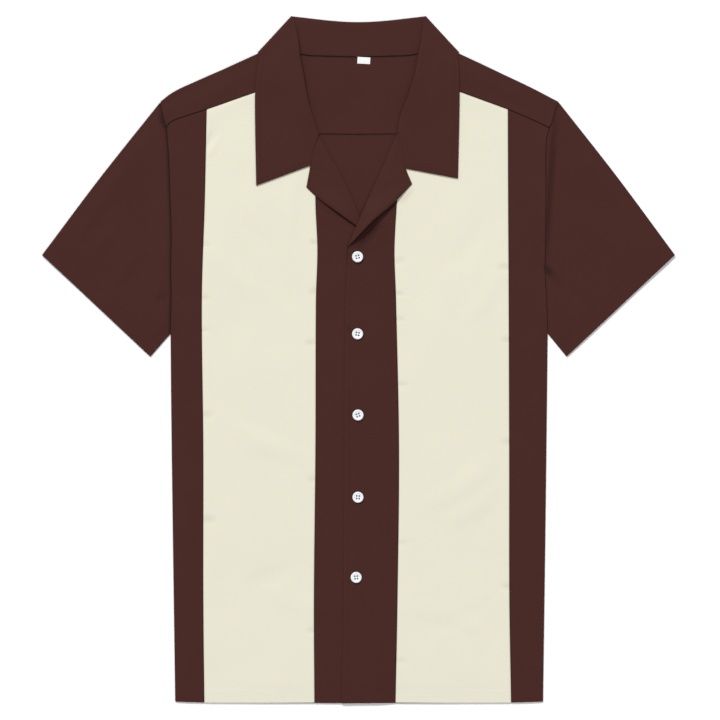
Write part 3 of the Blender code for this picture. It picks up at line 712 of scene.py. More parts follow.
def wire(tree, made, inputs):
    # sets each input to its number, or joins it to the output that feeds it
    for socket, value in inputs.items():
        if isinstance(value, bpy.types.NodeSocket):
            tree.links.new(value, made.inputs[socket])
        else:
            made.inputs[socket].default_value = value


def node(tree, kind, inputs=None, **settings):
    made = tree.nodes.new("ShaderNode" + kind)
    for key, value in settings.items():
        setattr(made, key, value)
    wire(tree, made, inputs or {})
    return made


def calculate(tree, operation, first, second=None):
    inputs = {0: first} if second is None else {0: first, 1: second}
    return node(tree, "Math", inputs, operation=operation).outputs[0]


def plain(tree, colour):
    made = node(tree, "RGB")
    made.outputs[0].default_value = (*colour, 1.0)
    return made.outputs[0]


def pattern(tree, vector, scale, detail=2.0, distortion=0.0):
    inputs = {"Vector": vector, "Scale": scale, "Detail": detail, "Distortion": distortion}
    return node(tree, "TexNoise", inputs).outputs["Fac"]


def placed(tree, vector, seed, scale=(1.0, 1.0, 1.0)):
    return node(tree, "Mapping", {"Vector": vector, "Location": seed, "Scale": scale}).outputs[0]


def ranged(tree, factor, low, high):
    return node(tree, "MapRange", {"Value": factor, "To Min": low, "To Max": high}).outputs[0]


def tone(tree, colour, factor, low, high):
    # the colour made darker or lighter by a pattern that runs from 0 to 1
    inputs = {0: colour, "Scale": ranged(tree, factor, low, high)}
    return node(tree, "VectorMath", inputs, operation="SCALE").outputs[0]


def blended(tree, factor, first, second):
    inputs = {"Factor": factor, "A": first, "B": second}
    return node(tree, "Mix", inputs, data_type="RGBA").outputs["Result"]


def bumped(tree, height, strength, depth, under=None):
    inputs = {"Height": height, "Strength": strength, "Distance": depth * mm}
    if under:
        inputs["Normal"] = under
    return node(tree, "Bump", inputs).outputs[0]


def grainOf(tree):
    grain = node(tree, "UVMap", uv_map="grain").outputs[0]
    return grain, node(tree, "SeparateXYZ", {0: grain}).outputs


def placeOf(tree):
    return node(tree, "TexCoord").outputs["Object"]


def ribs(tree, along, width):
    # a wave that repeats at the width, in millimetres
    return calculate(tree, "SINE", calculate(tree, "MULTIPLY", along, math.tau / (width * mm)))


def poplin(name, colour, paintedShade, mottle, sheen, paintedShadeStrength):
    # plain weave of fine yarn, a little uneven, with painted shade mixed into its colour where the seamShade
    # attribute marks seams, creases and the cloth under the lapels
    material, tree, shader = newMaterial(name)
    grain, across = grainOf(tree)
    shade = plain(tree, colour)
    for scale, share, seed in ((26.0, mottle, 0.0), (420.0, mottle * 0.8, 3.0)):
        cloud = pattern(tree, placed(tree, grain, (seed, seed, seed)), scale, detail=3.0)
        shade = tone(tree, shade, cloud, 1.0 - share, 1.0 + share)
    slubs = []
    for stretch, seed in (((2600.0, 70.0, 1.0), 0.0), ((70.0, 2600.0, 1.0), 5.0)):
        streak = pattern(tree, placed(tree, grain, (seed, seed, 0.0), stretch), 1.0, detail=1.0)
        shade = tone(tree, shade, streak, 1.0 - mottle * 1.3, 1.0 + mottle * 1.3)
        slubs.append(streak)
    # painted shade: the cloth's colour is pulled towards its painted-shade colour as far as this attribute
    # says
    paintedShadeMask = node(tree, "Attribute", attribute_name="seamShade").outputs["Fac"]
    paintedShadeMix = calculate(tree, "MULTIPLY", paintedShadeMask, paintedShadeStrength)
    overUnder = calculate(tree, "MULTIPLY", ribs(tree, across[0], 2 * finish["yarn"]),
                          ribs(tree, across[1], 2 * finish["yarn"]))
    thick = calculate(tree, "ADD", *(calculate(tree, "MULTIPLY", slub, 0.9) for slub in slubs))
    weave = calculate(tree, "ADD", calculate(tree, "MULTIPLY", overUnder, 0.5), thick)
    crumple = bumped(tree, pattern(tree, grain, 190.0, detail=4.0), 0.35, 0.4)
    wire(tree, shader, {
        "Base Color": blended(tree, paintedShadeMix, shade, (*paintedShade, 1.0)),
        "Normal": bumped(tree, weave, 0.5, 0.05, under=crumple),
        "Roughness": ranged(tree, slubs[0], 0.76, 0.92),
        "Specular IOR Level": 0.14,
        "Sheen Weight": sheen,
        "Sheen Roughness": 0.45,
    })
    return material


def threadMaterial(name, colour):
    material, tree, shader = newMaterial(name)
    twist = pattern(tree, placeOf(tree), 2400.0)
    wire(tree, shader, {
        "Base Color": tone(tree, plain(tree, colour), twist, 0.82, 1.18),
        "Normal": bumped(tree, twist, 0.4, 0.04),
        "Roughness": 0.75,
        "Specular IOR Level": 0.15,
        "Sheen Weight": 0.04,
    })
    return material


def labelMaterial():
    # damask tape: fine ribs across, slightly glossy
    material, tree, shader = newMaterial("woven label tape")
    grain, across = grainOf(tree)
    ends = calculate(tree, "MULTIPLY", ribs(tree, across[0], finish["labelEnd"]), 0.5)
    weave = calculate(tree, "ADD", ribs(tree, across[1], finish["labelRib"]), ends)
    wire(tree, shader, {
        "Base Color": tone(tree, plain(tree, finish["label"]), pattern(tree, grain, 900.0), 0.93, 1.04),
        "Normal": bumped(tree, weave, 0.5, 0.05),
        "Roughness": 0.5,
        "Sheen Weight": 0.15,
    })
    return material


def buttonMaterial():
    # moulded resin, clouded like shell, polished
    material, tree, shader = newMaterial("pearly resin")
    place = placeOf(tree)
    cloud = pattern(tree, place, 210.0, detail=4.0, distortion=1.2)
    wire(tree, shader, {
        "Base Color": blended(tree, cloud, (*finish["resinShade"], 1.0), (*finish["resinLight"], 1.0)),
        "Normal": bumped(tree, cloud, 0.12, 0.1),
        "Roughness": ranged(tree, pattern(tree, place, 1500.0), 0.16, 0.32),
        "Coat Weight": 0.35,
        "Coat Roughness": 0.1,
        "Subsurface Weight": 0.08,
    })
    return material


def floorMaterial():
    material, tree, shader = newMaterial("pale floor")
    cloud = pattern(tree, placeOf(tree), 3.0)
    wire(tree, shader, {
        "Base Color": tone(tree, plain(tree, finish["floor"]), cloud, 0.995, 1.005),
        "Roughness": 0.9,
        "Specular IOR Level": 0.1,
    })
    return material


brownPoplin = poplin("brown poplin", finish["brown"], finish["brownPaintedShade"], 0.045, 0.035, 0.62)
creamPoplin = poplin("cream poplin", finish["cream"], finish["creamPaintedShade"], 0.012, 0.03, 0.5)
brownThread = threadMaterial("brown thread", finish["brownThread"])
creamThread = threadMaterial("cream thread", finish["creamThread"])


def pieceFrom(name, bm, material=None):
    mesh = bpy.data.meshes.new(name)
    bm.to_mesh(mesh)
    bm.free()
    piece = bpy.data.objects.new(name, mesh)
    scene.collection.objects.link(piece)
    if material:
        mesh.materials.append(material)
    return piece


def mapGrain(bm, turn):
    # lays the weave's map over the cloth, turned to its grain
    grain = bm.loops.layers.uv.new("grain")
    for face in bm.faces:
        face.smooth = True
        for loop in face.loops:
            loop[grain].uv = turn @ Vector((loop.vert.co.x, loop.vert.co.y))


def addWall(piece, thickness, bevel):
    wall = piece.modifiers.new("wall", "SOLIDIFY")
    wall.thickness = thickness * mm
    wall.offset = 0.0
    edge = piece.modifiers.new("rim", "BEVEL")
    edge.width = bevel * mm
    edge.segments = 2
    edge.limit_method = "ANGLE"
    edge.angle_limit = math.radians(cloth["rimAngle"])


# Settings of the painted shade: the step that tells the layers apart, the step up to a lapel, the half width
# and reach of the neck seam's painted shade, and the darkness of the painted shadow under the lapels.
shades = {"layerStep": 0.3, "lapelStep": 0.5, "neckHalfWidth": 69.0, "neckReach": 1.4, "lapel": 0.8}

# Where a piece gets painted shade: the lines on its upper and its under layer, their reach and gain, the gain
# at the neck seam, the height of the layer under its lapel, and the line and reach of the painted shadow
# under the lapel.
Shading = namedtuple("Shading", "upper under reach gain neck layer lapel",
                     defaults=(("seam", "yoke"), (), 1.6, 1.0, 0.0, None, None))


# painted shade: darker along the seam lines, in the creases, under the lapels and along the neck seam
def shadeAt(shading, x, y, z):
    upper = z > lowerHeight(x, y) + shades["layerStep"]
    onLapel = shading.layer and z > shading.layer(x, y) + shades["lapelStep"]
    dark = 0.0
    if upper and not onLapel:
        dark = creaseShade(x, y)
    if not onLapel:
        for line in shading.upper if upper else shading.under:
            dark = max(dark, shading.gain * (1.0 - ramp(distance(line, x, y) / shading.reach)))
        if shading.lapel:
            line, reach = shading.lapel
            dark = max(dark, shades["lapel"] * (1.0 - ramp(distance(line, x, y) / reach)))
    if shading.neck and abs(x) < shades["neckHalfWidth"] and z > cloth["lowest"] + shades["layerStep"]:
        dark = max(dark, shading.neck * (1.0 - ramp(distance("neck", x, y) / shades["neckReach"])))
    return dark


def finishCloth(name, bm, material, shading=Shading(), grainTurn=0.0):
    # joins the grids, adds the weave's map and the painted shade, and gives the cloth its wall
    bmesh.ops.remove_doubles(bm, verts=bm.verts, dist=cloth["weld"] * mm)
    bmesh.ops.recalc_face_normals(bm, faces=bm.faces)
    shade = bm.verts.layers.float.new("seamShade")
    for vert in bm.verts:
        vert[shade] = shadeAt(shading, *(vert.co / mm))
    mapGrain(bm, Matrix.Rotation(grainTurn, 2))
    area = sum(face.calc_area() for face in bm.faces)
    piece = pieceFrom(name, bm, material)
    addWall(piece, cloth["wall"], cloth["rimBevel"])
    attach(piece, "root")
    piece["clothArea"] = area
    return piece


def declare(cadNode, flat):
    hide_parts(cadNode)


def surfaceOf(piece):
    return BVHTree.FromObject(piece, bpy.context.evaluated_depsgraph_get())


thread = {"stitch": 2.3, "pitch": 3.1, "reach": 0.4, "radius": 0.17, "sunk": 0.06, "dropFrom": 50.0}


def lengthOf(curve, steps=60):
    return sum((curve(i / steps) - curve((i + 1) / steps)).length for i in range(steps))


def sew(name, piece, lines, material):
    # rows of short stitches lying on the cloth, along the lines
    surface = surfaceOf(piece)
    bm = bmesh.new()
    size = Matrix.Diagonal((*(Vector((thread["stitch"] / 2, thread["radius"], thread["radius"])) * mm), 1.0))
    for line in lines:
        count = int(lengthOf(line) / thread["pitch"])
        for index in range(count):
            ends = []
            for reach in (-thread["reach"], thread["reach"]):
                point = line((index + 0.5 + reach) / count)
                hit = surface.ray_cast(Vector((*point, thread["dropFrom"])) * mm, down)[0]
                if hit is not None:
                    ends.append(hit)
            if len(ends) < 2:
                continue
            turn = (ends[1] - ends[0]).to_track_quat("X", "Z").to_matrix().to_4x4()
            seat = Matrix.Translation((ends[0] + ends[1]) / 2 - down * thread["sunk"] * mm)
            bmesh.ops.create_uvsphere(bm, u_segments=6, v_segments=4, radius=1.0, matrix=seat @ turn @ size)
    for face in bm.faces:
        face.smooth = True
    stitches = pieceFrom(name, bm, material)
    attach(stitches, "root")
    return stitches


# the last number is how dark the painted shade is along the back yoke seam inside the neck
backCut = {"flat": (0.456, 0.676), "halfWidth": 218.0, "aboveUnderarm": 235.0, "seamShade": 1.7}


def buildBack():
    bm = bmesh.new()
    half = cloth["halfGap"]
    centreHem, centreWaist = (0.0, body["hemY"]), (0.0, body["underarmY"])
    columns = stops(backCut["halfWidth"], end=cloth["rim"])
    for name, side in sides.items():
        armhole = moved(armholeCurves(name)[0], x=-half, y=-half)
        sideSeam = backwards(seam(sideSeamLevels, name))
        sideSeam = endingAt(sideSeam, sideSeam(0.0), armhole(0.0))
        waist = straight(centreWaist, armhole(0.0))
        top = through(backSeamKnots(-half, 0.0, armhole(1.0)))
        lower = (straight(centreHem, centreWaist), sideSeam, hem(0.0, sideSeam(0.0).x), waist)
        upper = (straight(centreWaist, top(0.0)), armhole, waist, top)
        upperRows = stops(backCut["aboveUnderarm"], end=cloth["rim"])
        laySheets(bm, side.sign, backHeight, columns, (hemRows(), lower), (upperRows, upper))
    shading = Shading(upper=(), under=("backYoke",), gain=backCut["seamShade"])
    piece = finishCloth("back_cloth", bm, brownPoplin, shading)
    declare("back", backCut["flat"])


yokeCut = {
    "flat": (0.470, 0.205),
    "besideStrip": 46.0, "besidePanel": 108.0, "depth": 48.0, "middleWidth": 88.0, "cell": 4.0,
    "stripColumns": 0.3,         # share of the columns beside the side strip
    "stripSeam": 1.0 / 3.0,      # share of the front seam that the side strip takes
    "neckTurn": 0.62,
    "edgeStitch": 1.8, "stitched": (0.01, 0.8),
    "shading": Shading(upper=("yoke",), under=("backYoke",), reach=1.4, gain=1.3, neck=2.2),
}


def buildYoke():
    bm = bmesh.new()
    half = cloth["halfGap"]
    along = joinedStops(stops(yokeCut["besideStrip"], start=cloth["rim"]), yokeCut["stripColumns"],
                        stops(yokeCut["besidePanel"]))
    across = stops(yokeCut["depth"], start=cloth["rim"], end=cloth["shortRim"], cell=yokeCut["cell"])
    turn = yokeCut["neckTurn"]
    outward = outwardOf(body["shoulderNeck"], body["shoulderTip"])
    lines = []
    for name, side in sides.items():
        armhole = moved(armholeCurves(name)[1], x=-half)
        frontSeam = joined(yokeSeam(name)[0], yokeCut["stripSeam"], yokeSeam(name)[1])
        backSeam = through(backSeamKnots(half, 2 * half, armhole(0.0))[::-1])
        neckLine = straight(backSeam(turn), body["shoulderNeck"])
        foldLine = through((armhole(1.0), *body["shoulderBend"][name], body["shoulderNeck"]))
        behind = (armhole, neckLine, partOf(backSeam, 0.0, turn), foldLine)
        before = (armhole, backwards(through(neckYoke)), moved(frontSeam, y=half), foldLine)
        middle = (neckLine, straight(backSeam(1.0), neckBack[0]), partOf(backSeam, turn, 1.0),
                  backwards(through(neckBack)))
        addSheet(bm, along, across, flatPlace(side.sign, behind, backHeight))
        addSheet(bm, even(cloth["foldSteps"]), along,
                 foldPlace(side.sign, foldLine, outward, backHeight, yokeFrontHeight))
        addSheet(bm, along, across, flatPlace(side.sign, before, yokeFrontHeight))
        addSheet(bm, stops(yokeCut["middleWidth"]), across, flatPlace(side.sign, middle, backHeight))
        stitching = partOf(inset(frontSeam, yokeCut["edgeStitch"]), *yokeCut["stitched"])
        lines.append(signed(stitching, side.sign))
    piece = finishCloth("yoke_cloth", bm, brownPoplin, yokeCut["shading"])
    stitches = sew("yoke_stitching", piece, lines, brownThread)
    declare("yoke", yokeCut["flat"])
    return piece


frontSideCut = {
    "flat": {"right": (0.0475, 0.697), "left": (0.0555, 0.697)},
    "width": 38.0, "aboveUnderarm": 245.0, "cell": 4.0,
    "stitched": (213.5, 181.0),
}


def buildFrontSide(name, side):
    bm = bmesh.new()
    half = cloth["halfGap"]
    height = partial(frontHeight, sign=side.sign)
    armhole = moved(armholeCurves(name)[0], x=-half, y=-half)
    sideSeam = backwards(seam(sideSeamLevels, name))
    sideSeam = endingAt(sideSeam, sideSeam(0.0), armhole(0.0))
    innerLow, innerHigh = (moved(curve, x=half) for curve in frontCurves(name, outerSeamLevels))
    top = moved(yokeSeam(name)[0], y=-half)
    top = endingAt(top, armhole(1.0), top(1.0) + Vector((half, 0.0)))
    waist = straight(armhole(0.0), innerLow(1.0))
    lower = (sideSeam, innerLow, hem(sideSeam(0.0).x, innerLow(0.0).x), waist)
    upper = (armhole, endingAt(innerHigh, waist(1.0), top(1.0)), waist, top)
    columns = stops(frontSideCut["width"], start=cloth["rim"], end=cloth["rim"], cell=frontSideCut["cell"])
    upperRows = stops(frontSideCut["aboveUnderarm"], end=cloth["rim"])
    laySheets(bm, side.sign, height, columns, (hemRows(), lower), (upperRows, upper))
    piece = finishCloth("front_side_" + name + "_cloth", bm, brownPoplin)
    line = hemRow(*frontSideCut["stitched"], side.sign)
    stitches = sew("front_side_" + name + "_hem_stitching", piece, [line], brownThread)
    declare("front_side_" + name, frontSideCut["flat"][name])


frontPanelCut = {
    "flat": {"right": (0.137, 0.730), "left": (0.138, 0.730)},
    "width": 132.0, "aboveUnderarm": 260.0, "columnCell": 3.4, "rowCell": 3.0,
    "neckShare": 0.5,            # share of the top that is neck
    "stitchEnd": 1.0,
}


def buildFrontPanel(name, side):
    bm = bmesh.new()
    half = cloth["halfGap"]
    height = partial(frontHeight, sign=side.sign)
    neckShare = frontPanelCut["neckShare"]
    outerLow, outerHigh = (moved(curve, x=-half) for curve in frontCurves(name, outerSeamLevels))
    innerLow, innerMiddle, innerHigh = centreCurves(name, side)
    innerHigh = joined(innerMiddle, 0.5, innerHigh)
    innerLow = moved(innerLow, x=half)
    top = joined(yokeSeam(name)[1], neckShare, through(side.neckFront))
    top = endingAt(moved(top, y=-half), top(0.0) - Vector((half, half)), innerHigh(1.0) + Vector((half, 0.0)))
    waist = straight(outerLow(1.0), innerLow(1.0))
    lower = (outerLow, innerLow, hem(outerLow(0.0).x, innerLow(0.0).x), waist)
    upper = (endingAt(outerHigh, waist(0.0), top(0.0)), endingAt(innerHigh, waist(1.0), top(1.0)), waist, top)
    rim, rowCell = cloth["rim"], frontPanelCut["rowCell"]
    columns = stops(frontPanelCut["width"], start=rim, end=rim, cell=frontPanelCut["columnCell"])
    upperRows = stops(frontPanelCut["aboveUnderarm"], end=rim, cell=rowCell)
    laySheets(bm, side.sign, height, columns, (hemRows(rowCell), lower), (upperRows, upper))
    piece = finishCloth("front_panel_" + name + "_cloth", bm, creamPoplin)
    line = hemRow(outerLow(0.0).x - frontPanelCut["stitchEnd"], innerLow(0.0).x + frontPanelCut["stitchEnd"],
                  side.sign)
    stitches = sew("front_panel_" + name + "_hem_stitching", piece, [line], creamThread)
    declare("front_panel_" + name, frontPanelCut["flat"][name])


centreCut = {
    "flat": (0.122, 0.670),
    "width": 60.0, "aboveUnderarm": 110.0, "rollLength": 132.0, "cell": 2.3,
    "edgeX": -15.0, "edgeReach": 22.0,           # where the front edge may run
    "lapelColumns": 46.0, "lapelCell": 3.6, "lapelSize": (40.0, 95.0), "gorgeShift": (0.1, 0.06),
    "loft": 0.15, "edgePuff": 0.25, "edgeRun": 1.5, "puffRun": 0.15,
    "rollPly": 0.66, "rollRun": 0.3,             # the lapel lies closer to the front at its roll
    "lift": {"right": 3.4, "left": 6.6}, "liftLean": {"right": 0.8, "left": 0.66}, "liftRun": 0.42,
    # reach of the painted shadow under each lapel, and of the painted shade beside the seam
    "underShade": {"right": 3.4, "left": 5.0}, "seamShadeReach": 1.3,
    "stitch": 2.2, "lowerStitched": (0.16, 0.96), "tipStitched": (0.1, 0.95),
    "edgeStitch": 5.0, "edgeStitched": (0.02, 0.97), "hemStitched": (1.0, 61.0),
}


def liftedLapel(name, u, v):
    # the free edge stands up in one soft swell
    swell = math.sin(min(1.0, u * 1.08) ** centreCut["liftLean"][name] * math.pi) ** 1.5
    return centreCut["lift"][name] * swell * (1.0 - ramp(v / centreCut["liftRun"]))


def buildFrontCentre(name, side):
    # centre strip with its grown-on facing turned back over the roll line as the lapel
    bm = bmesh.new()
    half = cloth["halfGap"]
    roll = through(side.roll)
    edgeX = side.frontEdge[0][0]
    seamLow, seamMiddle, seamHigh = (moved(curve, x=-half) for curve in centreCurves(name, side))
    edge = endingAt(through(side.frontEdge), (edgeX, hemY(0.0)), roll(0.0))
    edgeTurn = heightShare(edge, body["underarmY"])
    edgeLow, edgeMiddle = partOf(edge, 0.0, edgeTurn), partOf(edge, edgeTurn, 1.0)
    waist = straight(seamLow(1.0), edgeLow(1.0))
    level = straight(seamMiddle(1.0), roll(0.0))
    lower = (seamLow, edgeLow, hem(seamLow(0.0).x, edgeX), waist)
    middle = (seamMiddle, edgeMiddle, waist, level)
    upper = (seamHigh, roll, level, straight(seamHigh(1.0), roll(1.0)))

    def height(x, y):
        base = frontHeight(x, y, side.sign)
        if y < side.roll[0][1] and abs(x - side.sign * centreCut["edgeX"]) < centreCut["edgeReach"]:
            base += beside(abs(x - side.sign * edge(heightShare(edge, y)).x), "frontEdge")
        return base

    cell = centreCut["cell"]
    columns = stops(centreCut["width"], start=cloth["rim"], end=cloth["rim"], cell=cell)
    rollRows = stops(centreCut["rollLength"], cell=cell)
    middleRows = stops(centreCut["aboveUnderarm"])
    laySheets(bm, side.sign, height, columns, (hemRows(), lower), (middleRows, middle), (rollRows, upper))

    lowerEdge = through(side.lapelLower)
    frontTip = straight(side.lapelPoint, side.gorge[2])
    borders = (roll, frontTip, lowerEdge, moved(through(side.gorge), *centreCut["gorgeShift"]))
    lapelWidth, lapelLength = centreCut["lapelSize"]

    def lapelHeight(u, v, x, y):
        openEdge = min(v * lapelLength, (1.0 - u) * lapelWidth)
        loft = centreCut["loft"] * math.sin(v * math.pi) ** 3 * (1.0 - u) ** 2
        puff = centreCut["edgePuff"] * ramp(openEdge / centreCut["edgeRun"]) * ramp(u / centreCut["puffRun"])
        groove = beside(abs(openEdge - centreCut["stitch"]), "lapelStitch")
        ply = cloth["ply"] * mixed(centreCut["rollPly"], 1.0, ramp(u / centreCut["rollRun"]))
        return height(x, y) + ply + loft + puff + liftedLapel(name, u, v) + groove

    def lapelPlace(u, v):
        point = patch(u, v, *borders)
        x = side.sign * point.x
        return Vector((x, point.y, lapelHeight(u, v, x, point.y)))

    def rollHeight(v):
        return lapelHeight(0.0, v, side.sign * roll(v).x, roll(v).y)

    rollOut = outwardOf(roll(0.0), roll(1.0))
    addSheet(bm, even(cloth["foldSteps"]), rollRows,
             turnPlace(side.sign, roll, lambda v: rollOut, heightAlong(roll, side.sign, height), rollHeight))
    addSheet(bm, stops(centreCut["lapelColumns"], end=cloth["rim"], cell=centreCut["lapelCell"]), rollRows,
             lapelPlace)
    shading = Shading(upper=("seam",), reach=centreCut["seamShadeReach"], layer=height,
                      lapel=("lapel " + name, centreCut["underShade"][name]))
    piece = finishCloth("front_centre_" + name + "_cloth", bm, brownPoplin, shading)
    stitchY = hemY(0.0) + cloth["hemStitch"]
    hemStart, hemEnd = (edgeX + reach for reach in centreCut["hemStitched"])
    lines = [
        straight((hemStart, stitchY), (hemEnd, stitchY)),
        partOf(inset(lowerEdge, centreCut["stitch"]), *centreCut["lowerStitched"]),
        partOf(inset(frontTip, centreCut["stitch"]), *centreCut["tipStitched"]),
    ]
    if side.sign > 0:
        lines.append(partOf(inset(edge, -centreCut["edgeStitch"]), *centreCut["edgeStitched"]))
    stitches = sew("front_centre_" + name + "_stitching", piece, [signed(line, side.sign) for line in lines],
                   brownThread)
    declare("front_centre_" + name, centreCut["flat"])
    return piece


sleeveCut = {
    "flat": (0.545, 0.228),
    "underarmShare": 0.85,       # share of the armhole's rows below the yoke
    "length": 150.0, "width": 220.0, "cell": 4.6,
    "cuffRim": (0.0, 0.6, 1.6, 4.0, 8.0, 13.0, 17.3, 18.4, 19.2, 20.0, 21.2, 25.0),
    "foldRim": (0.0, 1.5, 4.0),
    "tuck": 0.25, "inset": 0.6, "insetShare": 0.12, "stitchEnd": 2.0,
    # painted shade beside the armhole seam, where the sleeve head rolls over it
    "paintedShade": {"right": (4.5, 1.0), "left": (2.4, 0.55)},       # reach and depth of the seam's shade
}


def buildSleeve(name, side):
    # one piece sewn to a tube, its two layers lying on each other, open at both ends
    bm = bmesh.new()
    cuffTop, cuffBottom = Vector(body["cuffTop"]), Vector(body["cuffBottom"])
    below, above = armholeCurves(name)
    armhole = moved(joined(below, sleeveCut["underarmShare"], above), x=-sleeveCut["tuck"])
    armhole = turnedFrom(armhole, armhole(0.0) + Vector((sleeveCut["inset"],) * 2), sleeveCut["insetShare"])
    underarm = straight(armhole(0.0), cuffBottom)
    foldOut = outwardOf(armhole(1.0), cuffTop)
    foldMiddle = (armhole(1.0) + cuffTop) / 2 + foldOut * body["sleeveBow"]
    foldLine = through((armhole(1.0), foldMiddle, cuffTop))
    borders = (armhole, straight(cuffBottom, cuffTop), underarm, foldLine)
    cell, foldRim = sleeveCut["cell"], sleeveCut["foldRim"]
    columns = stops(sleeveCut["length"], start=cloth["rim"], end=sleeveCut["cuffRim"], cell=cell)
    rows = stops(sleeveCut["width"], start=foldRim, end=foldRim, cell=cell)
    addSheet(bm, columns, rows, flatPlace(side.sign, borders, backHeight))
    addSheet(bm, columns, rows, flatPlace(side.sign, borders, sleeveHeight))
    for line, outward in ((foldLine, foldOut), (underarm, outwardOf(cuffBottom, armhole(0.0)))):
        addSheet(bm, even(cloth["foldSteps"]), columns,
                 foldPlace(side.sign, line, outward, backHeight, sleeveHeight))
    fall = cuffTop - Vector(body["shoulderTip"])
    reach, gain = sleeveCut["paintedShade"][name]
    piece = finishCloth("sleeve_" + name + "_cloth", bm, brownPoplin,
                        Shading(upper=("armhole",), under=("armhole",), reach=reach, gain=gain),
                        grainTurn=-side.sign * math.atan2(fall.y, fall.x))
    across = (cuffTop - cuffBottom).normalized()
    inwards = Vector((-across.y, across.x)) * cloth["cuffStitch"]
    margin = across * sleeveCut["stitchEnd"]
    line = signed(straight(cuffBottom + inwards + margin, cuffTop + inwards - margin), side.sign)
    stitches = sew("sleeve_" + name + "_stitching", piece, [line], brownThread)
    declare("sleeve_" + name, sleeveCut["flat"])


collar = {
    "flat": (0.560, 0.132),
    "loft": 2.0,
    "backRollHeight": 2.6,
    "neckCorner": (-1.0, 2.4),
    "seamGap": 0.3, "standLift": 0.1, "leafLift": 0.3,
    "stitch": 5.6, "edgePuff": 0.3, "puffRun": 2.0, "puffShare": 0.25,
    "yokeShare": 0.375,          # share of the front neckline that lies on the yoke
    "gorgeShare": 1.0 / 3.0,     # share of the leaf's width that is sewn to the lapel
    "gorgeShift": (-0.12, -0.08), "gorgeTurn": 0.08,
    "backWidth": 78.0, "frontLength": 142.0, "standHeight": 38.0, "gorgeWidth": 39.0, "leafWidth": 64.0,
    "neckCell": 3.4, "leafCell": 4.0, "leafRim": (0.0, 0.7, 1.6, 3.0, 4.6, 5.6, 6.6, 8.5),
    "outerEdge": 156.0, "frontEdge": 66.0,
    "cornerReach": 6.0,
    "shading": Shading(upper=(), neck=2.2),
}


def collarEdges(side):
    # the leaf's outer edge from the shoulder to its point, and from the point along the front to the gorge
    return through(side.leafFront), straight(side.point, side.gorge[2])


def toLine(point, start, end):
    run = (Vector(end) - Vector(start)).normalized()
    return abs((point - Vector(start)).cross(run))


def closeCorners(bm):
    # fills the small holes where the three rolls meet at the shoulders
    corner = Vector(rollBack[-1])
    near = []
    for edge in [edge for edge in bm.edges if edge.is_boundary]:
        middle = (edge.verts[0].co + edge.verts[1].co) / 2 / mm
        if (Vector((abs(middle.x), middle.y)) - corner).length < collar["cornerReach"]:
            near.append(edge)
    filled = bmesh.ops.holes_fill(bm, edges=near, sides=6 * cloth["foldSteps"])
    bmesh.ops.triangulate(bm, faces=filled["faces"])


def buildCollar():
    bm = bmesh.new()
    stitch = collar["stitch"]
    lines = []
    for side in sides.values():
        addCollarHalf(bm, side)
        outer, front = (inset(edge, -stitch) for edge in collarEdges(side))
        lines.append(signed(partOf(outer, 0.0, 1.0 - stitch / collar["outerEdge"]), side.sign))
        lines.append(signed(partOf(front, stitch / collar["frontEdge"], 0.98), side.sign))
    bmesh.ops.remove_doubles(bm, verts=bm.verts, dist=cloth["weld"] * mm)
    closeCorners(bm)
    piece = finishCloth("collar_cloth", bm, brownPoplin, collar["shading"])
    stitches = sew("collar_stitching", piece, lines, brownThread)
    declare("collar", collar["flat"])


